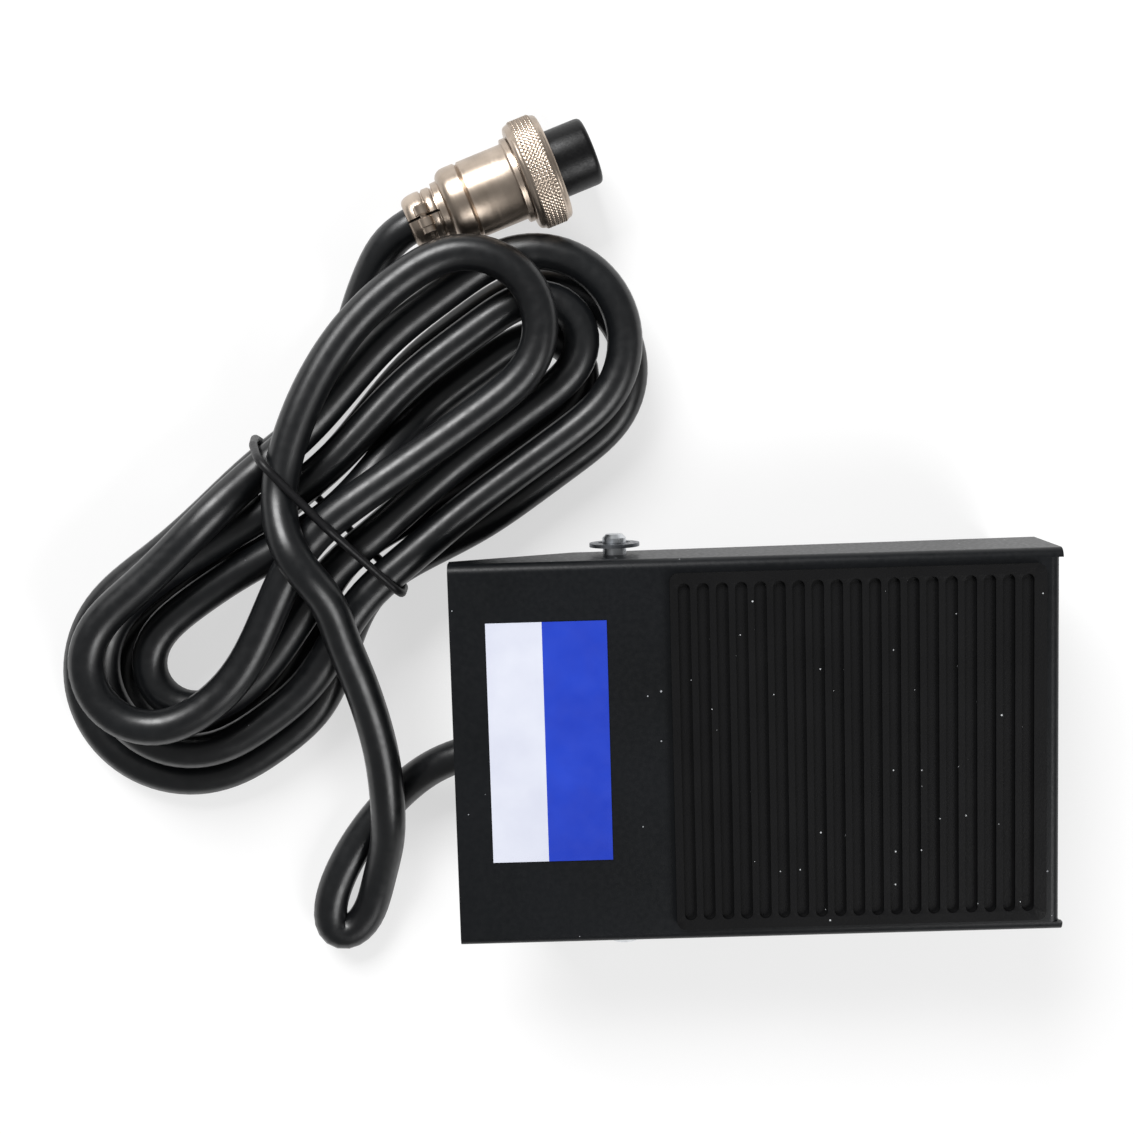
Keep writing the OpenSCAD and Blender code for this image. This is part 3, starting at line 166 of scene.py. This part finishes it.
def even_points(points, step):
    """The same line with its points a step apart."""
    out, left = [points[0].copy()], step
    for a, b in zip(points, points[1:]):
        length = (b - a).length
        while length > left:
            a = a + (b - a) * (left / length)
            length -= left
            left = step
            out.append(a.copy())
        left -= length
    if (out[-1] - points[-1]).length < step / 2:
        out.pop()
    return out + [points[-1].copy()]


def relaxed(points, reach, rounds):
    """The line with its kinks eased, its ends held."""
    last = len(points) - 1
    for _ in range(rounds):
        eased = list(points)
        for i in range(1, last):
            near = min(reach, i, last - i)
            eased[i] = sum(points[i - near:i + near + 1], Vector((0, 0, 0))) / (2 * near + 1)
        points = eased
    return points


POINTS_PER_LOOP = 48
ROUTE_STEPS = 8
CORD_STEP = 1.5
EASE_REACH, EASE_ROUNDS = 2, 3
hank_line = [hank_point(i, k / POINTS_PER_LOOP)
             for i in range(len(HALF_LOOPS)) for k in range(POINTS_PER_LOOP)]
hank_line.append(hank_point(len(HALF_LOOPS) - 1, 1))
hank_line.insert(0, hank_line[0] - Vector((CORD, CORD, 0)) * math.sqrt(0.5))
hank_line.append(hank_line[-1] + Vector((CORD, 0, 0)))
hank_line = [hank_to_room(p) for p in hank_line]
cord_line = smooth_route(LEAD_ROUTE + [hank_line[0]], ROUTE_STEPS)[:-1] + hank_line[:-1]
cord_line += smooth_route([hank_line[-1]] + TAIL_ROUTE + [PLUG_REAR], ROUTE_STEPS)
cord_line.append(PLUG_REAR + PLUG_DIRECTION * REAR_CLAMP_LENGTH)
cord_line = relaxed(even_points(cord_line, CORD_STEP), EASE_REACH, EASE_ROUNDS)


def tube(name, points, radius, sides):
    """A round tube along points in millimetres, as a curve."""
    curve = bpy.data.curves.new(name, "CURVE")
    curve.dimensions = "3D"
    # the points carry the radius, so that the curve's own box is true
    curve.bevel_depth = 1.0
    curve.bevel_resolution = sides // 4
    curve.use_fill_caps = True
    spline = curve.splines.new("POLY")
    spline.points.add(len(points) - 1)
    for spot, p in zip(spline.points, points):
        spot.co = (p[0] * MM, p[1] * MM, p[2] * MM, 1)
        spot.radius = radius * MM
    spline.use_smooth = True
    piece = bpy.data.objects.new(name, curve)
    scene.collection.objects.link(piece)
    return piece


CORD_SIDES, TIE_SIDES, WIRE_SIDES = 20, 16, 12
cord = tube("cord", cord_line, HALF_CORD, CORD_SIDES)
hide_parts("cord_lead", "cord_hank", "cord_tail")
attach(cord, "base")


def hex_colour(text):
    """An sRGB hex colour as the linear values that a shader takes."""
    parts = [int(text[i:i + 2], 16) / 255 for i in (1, 3, 5)]
    return tuple(c / 12.92 if c <= 0.04045 else ((c + 0.055) / 1.055) ** 2.4 for c in parts) + (1.0,)


def add(tree, kind, settings, links):
    """Adds a node with its settings, by property or input, and the links to its inputs."""
    node = tree.nodes.new(kind)
    for name, value in settings.items():
        if isinstance(name, int) or name in node.inputs:
            node.inputs[name].default_value = value
        else:
            setattr(node, name, value)
    for name, source in links.items():
        tree.links.new(source, node.inputs[name])
    return node


def new_material(name):
    """An empty material with the place of its surface in the object's own metres."""
    material = bpy.data.materials.new(name)
    material.use_nodes = True
    tree = material.node_tree
    tree.nodes.clear()
    return material, tree, add(tree, "ShaderNodeTexCoord", {}, {}).outputs["Object"]


def per_mm(size):
    """Noise scale whose cells are about size millimetres across."""
    return 1000 / size


NOISE_LOW, NOISE_HIGH = 0.3, 0.7  # where most of a noise's values lie


def mottled(tree, place, dark, light, patch_mm):
    """Two near colours in soft patches of patch_mm."""
    patch = add(tree, "ShaderNodeTexNoise", {"Scale": per_mm(patch_mm), "Detail": 4.0}, {"Vector": place})
    share = add(tree, "ShaderNodeMapRange", {"From Min": NOISE_LOW, "From Max": NOISE_HIGH},
                {"Value": patch.outputs["Fac"]})
    return add(tree, "ShaderNodeMix", {"data_type": "RGBA", 6: hex_colour(dark), 7: hex_colour(light)},
               {0: share.outputs[0]}).outputs[2]


def dusted(tree, place, base_colour, dust_colour, spacing, share):
    """The base colour with fine specks of dust, at most one in each cell of spacing millimetres."""
    cells = add(tree, "ShaderNodeTexVoronoi", {"Scale": per_mm(spacing), "Randomness": 1.0},
                {"Vector": place})
    size = add(tree, "ShaderNodeMath", {"operation": "MULTIPLY", 1: share}, {0: cells.outputs["Color"]})
    speck = add(tree, "ShaderNodeMath", {"operation": "LESS_THAN"},
                {0: cells.outputs["Distance"], 1: size.outputs[0]})
    return add(tree, "ShaderNodeMix", {"data_type": "RGBA", 7: hex_colour(dust_colour)},
               {0: speck.outputs[0], 6: base_colour}).outputs[2]


def finish_surface(material, tree, colour, grain, roughness, depth_mm, strength, base):
    """Closes a material: grain drives the bump and the roughness between its two ends."""
    bump = add(tree, "ShaderNodeBump", {"Strength": strength, "Distance": depth_mm * MM}, {"Height": grain})
    low, high = roughness
    ends = {"From Min": NOISE_LOW, "From Max": NOISE_HIGH, "To Min": low, "To Max": high}
    rough = add(tree, "ShaderNodeMapRange", ends, {"Value": grain})
    shader = add(tree, "ShaderNodeBsdfPrincipled", base,
                 {"Base Color": colour, "Roughness": rough.outputs[0], "Normal": bump.outputs[0]})
    add(tree, "ShaderNodeOutputMaterial", {}, {"Surface": shader.outputs[0]})
    return material


def enamel_on_steel():
    """Black stoved enamel on pressed sheet steel: satin, with a faint orange peel and some dust."""
    material, tree, place = new_material("black_stoved_enamel")
    colour = mottled(tree, place, "#0a0c0e", "#0f1114", 22)
    colour = dusted(tree, place, colour, "#9a9ca0", 3.6, 0.06)
    peel = add(tree, "ShaderNodeTexNoise", {"Scale": per_mm(0.8), "Detail": 2.0}, {"Vector": place})
    return finish_surface(material, tree, colour, peel.outputs["Fac"], (0.34, 0.44), 0.1, 0.16,
                          {"IOR": 1.5, "Specular IOR Level": 0.24})


def moulded_rubber():
    """Moulded black rubber: matt, with a fine grain and pale dust caught in the ribs."""
    material, tree, place = new_material("moulded_black_rubber")
    colour = mottled(tree, place, "#060607", "#0b0b0c", 9)
    colour = dusted(tree, place, colour, "#b4b6b8", 2.8, 0.07)
    grain = add(tree, "ShaderNodeTexNoise", {"Scale": per_mm(0.35), "Detail": 3.0}, {"Vector": place})
    return finish_surface(material, tree, colour, grain.outputs["Fac"], (0.48, 0.66), 0.1, 0.3,
                          {"IOR": 1.52, "Specular IOR Level": 0.13})


def cord_sheath():
    """Extruded black PVC: smooth, a little glossy, with a soft waviness along its skin."""
    material, tree, place = new_material("extruded_black_pvc")
    colour = mottled(tree, place, "#090a0c", "#0e1012", 14)
    colour = dusted(tree, place, colour, "#6c6e71", 5.0, 0.03)
    skin = add(tree, "ShaderNodeTexNoise", {"Scale": per_mm(1.6), "Detail": 3.0}, {"Vector": place})
    return finish_surface(material, tree, colour, skin.outputs["Fac"], (0.3, 0.4), 0.1, 0.1,
                          {"IOR": 1.54, "Specular IOR Level": 0.45})


LINE_STRETCH = 0.02


def plated_metal(name, dark, light, roughness, line_mm):
    """Plated metal: turned or rolled lines a fraction of a millimetre apart, and a faint tarnish."""
    material, tree, place = new_material(name)
    colour = mottled(tree, place, dark, light, 5)
    # lines are stretched round the X axis, as a lathe leaves them
    drawn = add(tree, "ShaderNodeMapping", {"Scale": (1, LINE_STRETCH, LINE_STRETCH)}, {"Vector": place})
    lines = add(tree, "ShaderNodeTexNoise", {"Scale": per_mm(line_mm), "Detail": 2.0},
                {"Vector": drawn.outputs[0]})
    return finish_surface(material, tree, colour, lines.outputs["Fac"], (roughness - 0.04, roughness + 0.08),
                          0.05, 0.12, {"Metallic": 1.0})


def moulded_plastic(name, dark, light, roughness, grain_mm):
    """Injection-moulded plastic: an even colour, faint flow marks and a fine spark texture."""
    material, tree, place = new_material(name)
    colour = mottled(tree, place, dark, light, 12)
    grain = add(tree, "ShaderNodeTexNoise", {"Scale": per_mm(grain_mm), "Detail": 2.0}, {"Vector": place})
    return finish_surface(material, tree, colour, grain.outputs["Fac"], (roughness - 0.05, roughness + 0.08),
                          0.1, 0.15, {"IOR": 1.49, "Specular IOR Level": 0.25})


LABEL_BAND_X = -35.4  # where the white band ends, along the pedal


def label_film():
    """Printed vinyl film: a plain blue field with a white band at its heel side, no print on it."""
    material, tree, place = new_material("printed_vinyl_film")
    parts = add(tree, "ShaderNodeSeparateXYZ", {}, {"Vector": place})
    band = add(tree, "ShaderNodeMath", {"operation": "LESS_THAN", 1: LABEL_BAND_X * MM},
               {0: parts.outputs["X"]})
    blue = mottled(tree, place, "#1733a8", "#1c3db8", 10)
    white = mottled(tree, place, "#c4c7d6", "#d0d3df", 10)
    colour = add(tree, "ShaderNodeMix", {"data_type": "RGBA"}, {0: band.outputs[0], 6: blue, 7: white})
    film = add(tree, "ShaderNodeTexNoise", {"Scale": per_mm(3), "Detail": 2.0}, {"Vector": place})
    return finish_surface(material, tree, colour.outputs[2], film.outputs["Fac"], (0.3, 0.4), 0.1, 0.08,
                          {"IOR": 1.5})


ENAMEL = enamel_on_steel()
RUBBER = moulded_rubber()
SHEATH = cord_sheath()
LABEL_FILM = label_film()
NICKEL = plated_metal("satin_nickel_plate", "#a6988a", "#c8b9aa", 0.33, 0.12)
ZINC = plated_metal("bright_zinc_plate", "#c4c8cc", "#e6e8ea", 0.3, 0.3)
CLIP_STEEL = plated_metal("phosphated_spring_steel", "#5a5d62", "#8d9095", 0.38, 0.2)
BRASS = plated_metal("bright_brass", "#a98643", "#d8b56a", 0.28, 0.25)
NYLON = moulded_plastic("natural_nylon", "#cfc9b9", "#e4dfd2", 0.45, 0.6)
PHENOLIC = moulded_plastic("black_phenolic", "#121214", "#1b1b1e", 0.42, 0.4)
RED_ACETAL = moulded_plastic("red_acetal", "#6d1210", "#8e1a17", 0.3, 0.5)
INSULATOR = moulded_plastic("black_insulator_plastic", "#060607", "#0b0b0c", 0.36, 0.4)
GREY_PLASTIC = moulded_plastic("grey_moulded_nylon", "#37383b", "#4a4b4f", 0.5, 0.4)
WIRE_BLUE = moulded_plastic("blue_wire_pvc", "#1f4f90", "#2a62ad", 0.35, 0.6)
WIRE_RED = moulded_plastic("red_wire_pvc", "#8f2422", "#b5312f", 0.35, 0.6)
WIRE_YELLOW = moulded_plastic("yellow_wire_pvc", "#b09018", "#d0ae22", 0.35, 0.6)
TIE_PVC = moulded_plastic("black_tie_pvc", "#0e0e0f", "#161618", 0.42, 0.5)

NODE_FINISHES = {
    ENAMEL: ["pedal_cover", "base_tray"],
    RUBBER: ["tread_pad", "feet", "cable_grommet"],
    LABEL_FILM: ["label"],
    ZINC: ["hinge_pin", "switch_bracket", "bracket_screws", "switch_screws", "switch_nuts", "switch_lever",
           "lever_pin", "cable_strap", "clamp_screws", "retaining_ring"],
    CLIP_STEEL: ["e_clip", "return_spring"],
    NYLON: ["hinge_bushes", "spring_post"],
    PHENOLIC: ["switch_case", "switch_cover"],
    RED_ACETAL: ["switch_plunger"],
    BRASS: ["contact_blade", "terminal_com", "terminal_nc", "terminal_no", "contact_sockets"],
    WIRE_BLUE: ["wire_com"], WIRE_RED: ["wire_nc"], WIRE_YELLOW: ["wire_no"],
    GREY_PLASTIC: ["cable_saddle"],
    SHEATH: ["cord_inner", "cord_lead", "cord_hank", "cord_tail"],
    TIE_PVC: ["cord_tie"],
    NICKEL: ["plug_shell", "plug_collar", "plug_collar_screws", "coupling_nut", "insert_screw"],
    INSULATOR: ["plug_insert"],
}


def dress(piece, material):
    piece.data.materials.clear()
    piece.data.materials.append(material)


for finish, node_names in NODE_FINISHES.items():
    for node_name in node_names:
        dress(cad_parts[node_name], finish)
dress(cord, SHEATH)


SHARP_ANGLE = 35  # degrees from which an edge stays sharp or is rounded
WELD_GAP = 0.002
SEAM_GAP = 0.0005


def soften(piece, width_mm):
    """Welds the node's faces and rounds its sharp edges, as pressed sheet and moulded rubber have."""
    weld = piece.modifiers.new("weld", "WELD")
    weld.merge_threshold = WELD_GAP * MM
    bevel = piece.modifiers.new("rounded edges", "BEVEL")
    bevel.width = width_mm * MM
    bevel.segments = 3
    bevel.limit_method = "ANGLE"
    bevel.angle_limit = math.radians(SHARP_ANGLE)
    bevel.harden_normals = False
    piece.data.shade_smooth()
    smooth = piece.modifiers.new("even normals", "WEIGHTED_NORMAL")
    smooth.keep_sharp = False


PRESSED_EDGE, MOULDED_EDGE = 0.25, 0.45
soften(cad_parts["pedal_cover"], PRESSED_EDGE)
soften(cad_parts["tread_pad"], MOULDED_EDGE)


def mesh_piece(name, shape, material, smooth_angle=SHARP_ANGLE):
    """A piece from a built shape, smooth but for edges over the angle."""
    mesh = bpy.data.meshes.new(name)
    shape.to_mesh(mesh)
    shape.free()
    piece = bpy.data.objects.new(name, mesh)
    scene.collection.objects.link(piece)
    dress(piece, material)
    mesh.shade_smooth()
    mesh.set_sharp_from_angle(angle=math.radians(smooth_angle))
    return piece


def turned_shape(profile, steps, cut=None):
    """A mesh turned about the X axis from (x, radius) pairs in millimetres, closed along the profile."""
    shape = bmesh.new()
    rings = []
    for k in range(steps):
        angle = 2 * math.pi * k / steps
        ring = []
        for i, (x, r) in enumerate(profile):
            r -= cut(i, k / steps) if cut else 0
            ring.append(shape.verts.new(Vector((x, r * math.cos(angle), r * math.sin(angle))) * MM))
        rings.append(ring)
    count = len(profile)
    for k in range(steps):
        a, b = rings[k], rings[(k + 1) % steps]
        for i in range(count):
            j = (i + 1) % count
            if profile[i][1] or profile[j][1]:
                shape.faces.new((a[i], a[j], b[j], b[i]))
    bmesh.ops.remove_doubles(shape, verts=shape.verts, dist=SEAM_GAP * MM)
    bmesh.ops.recalc_face_normals(shape, faces=shape.faces)
    return shape


NUT_START, NUT_END, NUT_RADIUS = 20.15, 26.0, 9.3
KNURL_TEETH = 84
STEPS_PER_TOOTH = 5
KNURL_ROWS = 28
KNURL_DEPTH = 0.2


def knurled_nut():
    """The coupling nut: a fine diamond knurl between two smooth, chamfered rims."""
    steps = KNURL_TEETH * STEPS_PER_TOOTH
    band0, band1 = NUT_START + 1.0, NUT_END - 1.0
    outer = [(NUT_START, 6.6), (NUT_START, 8.35), (NUT_START + 0.1, 8.6), (NUT_START + 0.35, 8.82),
             (NUT_START + 0.7, 8.94), (NUT_START + 0.92, 8.98)]
    first = len(outer)
    outer += [(band0 + (band1 - band0) * k / KNURL_ROWS, NUT_RADIUS - 0.02) for k in range(KNURL_ROWS + 1)]
    last = len(outer) - 1
    outer += [(NUT_END - 0.92, 8.98), (NUT_END - 0.7, 8.94), (NUT_END - 0.35, 8.82), (NUT_END - 0.1, 8.6),
              (NUT_END, 8.35), (NUT_END, 7.7), (NUT_END - 0.25, 7.5), (NUT_START + 2, 7.5),
              (NUT_START + 2, 6.6)]

    def cut(i, share):
        if not first <= i <= last:
            return 0
        across = (outer[i][0] - band0) * KNURL_TEETH / (2 * math.pi * NUT_RADIUS)
        rise = min(abs((share * KNURL_TEETH + side * across) % 1 - 0.5) * 2 for side in (-1, 1))
        edge = min(i - first, last - i) / 2
        return KNURL_DEPTH * (1 - ease(1.5 * rise) * min(edge, 1))

    return turned_shape(outer, steps, cut)


SHELL_PROFILE = [
    (5.6, 0), (5.6, 4.6), (5.66, 4.9), (6.7, 4.95), (6.78, 5.35), (7.05, 5.85), (7.5, 6.22), (8.0, 6.42),
    (8.6, 6.5), (10.4, 6.5), (10.75, 6.1), (11.1, 6.5), (18.7, 6.5), (18.9, 6.62),
    (18.95, 7.05), (19.1, 7.2), (19.9, 7.2), (20.0, 7.05), (20.0, 6.5), (22.2, 6.5), (22.2, 6.0),
    (23.1, 6.0), (23.1, 6.5), (23.8, 6.5), (24.0, 6.3), (24.0, 5.42), (16.0, 5.42), (16.0, 0),
]
INSERT_PROFILE = [
    (16, 0), (16, 5.4), (26, 5.4), (26, 5.7), (31.9, 5.7), (32.35, 5.6), (32.65, 5.36), (32.8, 5.0),
    (32.8, 4.7), (32.5, 4.55), (32.5, 0),
]
CLAMP_PROFILE = [
    (0.0, 3.35), (0.12, 3.75), (0.4, 4.08), (0.9, 4.34), (1.6, 4.5), (2.5, 4.58), (3.2, 4.56), (3.42, 4.45),
    (3.52, 4.15), (3.72, 4.15), (3.82, 4.42), (4.0, 4.54), (5.0, 4.54), (5.22, 4.42), (5.32, 4.2), (5.6, 4.2),
]
CLAMP_ARC = 28
CLAMP_BORE = 3.02
SPLIT_HALF = 0.2
EAR_X, EAR_UP, EAR_RADIUS, EAR_START, EAR_END = 2.8, 4.3, 1.3, 0.22, 2.0
EAR_SIDES, EAR_RIM = 32, 0.22


def half_clamp(side):
    """Half of the rear clamp, split upright, with half an ear above and below for its screws."""
    shape = bmesh.new()
    gap = math.asin(SPLIT_HALF / CLAMP_PROFILE[-1][1])
    rows = []
    for x, r in CLAMP_PROFILE + [(REAR_CLAMP_LENGTH, CLAMP_BORE), (0, CLAMP_BORE)]:
        angles = [-math.pi / 2 + gap + (math.pi - 2 * gap) * k / CLAMP_ARC for k in range(CLAMP_ARC + 1)]
        rows.append([shape.verts.new(Vector((x, side * r * math.cos(a), r * math.sin(a))) * MM)
                     for a in angles])
    for a, b in zip(rows, rows[1:] + rows[:1]):
        for k in range(CLAMP_ARC):
            shape.faces.new((a[k], a[k + 1], b[k + 1], b[k]))
    for end in (0, CLAMP_ARC):
        shape.faces.new([row[end] for row in rows])
    for up in (-1, 1):
        middle = Vector((EAR_X, side * (EAR_START + EAR_END) / 2, up * EAR_UP)) * MM
        made = bmesh.ops.create_cone(
            shape, cap_ends=True, segments=EAR_SIDES, radius1=EAR_RADIUS * MM, radius2=EAR_RADIUS * MM,
            depth=(EAR_END - EAR_START) * MM,
            matrix=Matrix.Translation(middle) @ Matrix.Rotation(math.pi / 2, 4, "X"))
        edges = {edge for vert in made["verts"] for edge in vert.link_edges}
        rims = [edge for edge in edges if edge.calc_face_angle(0) > 1]
        bmesh.ops.bevel(shape, geom=rims, offset=EAR_RIM * MM, segments=3, affect="EDGES")
    bmesh.ops.recalc_face_normals(shape, faces=shape.faces)
    return shape


KNURL_SHARP = 50
TURNED_STEPS = 96
plug_place = Matrix.Translation(PLUG_REAR * MM) @ Matrix.Rotation(PLUG_TURN, 4, "Z")
PLUG_PIECES = [
    ("coupling_nut_knurled", knurled_nut(), NICKEL, KNURL_SHARP, "nut", "nickel", "coupling_nut"),
    ("plug_shell_turned", turned_shape(SHELL_PROFILE, TURNED_STEPS), NICKEL, SHARP_ANGLE, "base", "nickel",
     "plug_shell"),
    ("rear_clamp_lower", half_clamp(1), NICKEL, SHARP_ANGLE, "base", "nickel", None),
    ("rear_clamp_upper", half_clamp(-1), NICKEL, SHARP_ANGLE, "base", "nickel", "plug_collar"),
    ("plug_insert_moulded", turned_shape(INSERT_PROFILE, TURNED_STEPS), INSULATOR, SHARP_ANGLE, "base",
     "insert_plastic", "plug_insert"),
]
for name, shape, material, angle, body, slot_name, stands_for in PLUG_PIECES:
    piece = mesh_piece(name, shape, material, angle)
    piece.matrix_world = plug_place
    if stands_for:
        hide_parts(stands_for)
    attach(piece, body)

TIE_RADIUS = 0.72
TIE_REACH = HALF_CORD + TIE_RADIUS + 0.03
TIE_SLANT = 0.14
TIE_CORNER_STEPS = 6
# the waist's outer strands in turn, as columns and levels
TIE_STRANDS = [(-2, 0), (2.14, 0), (2, 1.05), (1.7, 2.05), (0, 2), (-2, 1)]


def tie_line():
    """One tight wrap of tie wire round the waist's outer strands, slanting from side to side."""
    strands = [lifted(0, column * PASS_STEP, level).yz for column, level in TIE_STRANDS]
    count = len(strands)
    outward = []
    for i, strand in enumerate(strands):
        along = strands[(i + 1) % count] - strand
        outward.append(math.atan2(-along.x, along.y))
    points = []
    for i, strand in enumerate(strands):
        turn = (outward[i] - outward[i - 1]) % (2 * math.pi)
        for k in range(TIE_CORNER_STEPS + 1):
            angle = outward[i - 1] + turn * k / TIE_CORNER_STEPS
            v, z = strand.x + TIE_REACH * math.cos(angle), strand.y + TIE_REACH * math.sin(angle)
            points.append(hank_to_room(Vector((-v * TIE_SLANT, v, z))))
    return points


tie = tube("cord_tie_wire", tie_line(), TIE_RADIUS, TIE_SIDES)
tie.data.splines[0].use_cyclic_u = True
dress(tie, TIE_PVC)
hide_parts("cord_tie")
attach(tie, "base")

# return spring, in millimetres
SPRING_AT = Vector((36, 0, 3.5))
SPRING_TOP = 26.26
SPRING_WIRE, SPRING_COIL = 1.2, 4.4
SPRING_TURNS, POINTS_PER_TURN = 7, 24


def spring_line():
    """The wire's centre line, from the post's seat up to the pedal's underside."""
    rise = SPRING_TOP - SPRING_AT.z - SPRING_WIRE
    count = SPRING_TURNS * POINTS_PER_TURN
    points = []
    for i in range(count + 1):
        angle = 2 * math.pi * i / POINTS_PER_TURN
        ring = Vector((math.cos(angle), math.sin(angle), 0)) * SPRING_COIL
        points.append(SPRING_AT + ring + Vector((0, 0, SPRING_WIRE / 2 + rise * i / count)))
    return points


spring_curve = tube("spring_curve", spring_line(), SPRING_WIRE / 2, WIRE_SIDES)
bpy.context.view_layer.update()
depsgraph = bpy.context.evaluated_depsgraph_get()
spring_mesh = bpy.data.meshes.new_from_object(spring_curve.evaluated_get(depsgraph))
bpy.data.objects.remove(spring_curve)
spring = bpy.data.objects.new("return_spring_coil", spring_mesh)
scene.collection.objects.link(spring)
dress(spring, CLIP_STEEL)
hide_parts("return_spring")
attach(spring, "base")
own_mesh(spring)


FLOOR_GLOW = 0.62
WORLD_STRENGTH = 0.24
FLOOR_SIZE, FLOOR_DROP = 3.0, 0.1


def pale_floor():
    """Matt white paper; a share of what the eye sees of it is an even white, and its shadow stays."""
    material, tree, place = new_material("matt_white_paper")
    colour = mottled(tree, place, "#f2f2f2", "#f6f6f6", 30)
    shader = add(tree, "ShaderNodeBsdfPrincipled", {"Roughness": 0.9}, {"Base Color": colour})
    glow = add(tree, "ShaderNodeEmission", {"Color": (1, 1, 1, 1), "Strength": 1.0}, {})
    path = add(tree, "ShaderNodeLightPath", {}, {})
    seen = add(tree, "ShaderNodeMath", {"operation": "MAXIMUM"},
               {0: path.outputs["Is Camera Ray"], 1: path.outputs["Is Glossy Ray"]})
    seen = add(tree, "ShaderNodeMath", {"operation": "MAXIMUM"},
               {0: seen.outputs[0], 1: path.outputs["Is Transmission Ray"]})
    share = add(tree, "ShaderNodeMath", {"operation": "MULTIPLY", 1: FLOOR_GLOW}, {0: seen.outputs[0]})
    mix = add(tree, "ShaderNodeMixShader", {},
              {0: share.outputs[0], 1: shader.outputs[0], 2: glow.outputs[0]})
    add(tree, "ShaderNodeOutputMaterial", {}, {"Surface": mix.outputs[0]})
    return material


floor_mesh = bmesh.new()
bmesh.ops.create_grid(floor_mesh, x_segments=8, y_segments=8, size=FLOOR_SIZE)
floor = mesh_piece("floor", floor_mesh, pale_floor())
floor.location.z = -FLOOR_DROP * MM

world = bpy.data.worlds.new("studio")
scene.world = world
world.use_nodes = True
sky = world.node_tree
sky.nodes.clear()
path = add(sky, "ShaderNodeLightPath", {}, {})
plain = add(sky, "ShaderNodeBackground", {"Color": (1, 1, 1, 1), "Strength": WORLD_STRENGTH}, {})
white = add(sky, "ShaderNodeBackground", {"Color": (1, 1, 1, 1), "Strength": 1.0}, {})
mix = add(sky, "ShaderNodeMixShader", {}, {0: path.outputs["Is Camera Ray"], 1: plain.outputs[0],
                                           2: white.outputs[0]})
add(sky, "ShaderNodeOutputWorld", {}, {"Surface": mix.outputs[0]})


def soft_lamp(name, place_mm, target_mm, size_mm, power):
    data = bpy.data.lights.new(name, "AREA")
    data.shape = "RECTANGLE"
    data.size, data.size_y = size_mm[0] * MM, size_mm[1] * MM
    data.energy = power
    lamp = bpy.data.objects.new(name, data)
    lamp.location = Vector(place_mm) * MM
    lamp.rotation_euler = (Vector(target_mm) * MM - lamp.location).to_track_quat("-Z", "Y").to_euler()
    scene.collection.objects.link(lamp)


soft_lamp("window_side", (-350, 700, 600), (-20, 20, 0), (500, 400), 11.5)
soft_lamp("fill_side", (500, -500, 700), (0, 0, 0), (500, 500), 6.0)

bpy.context.view_layer.update()
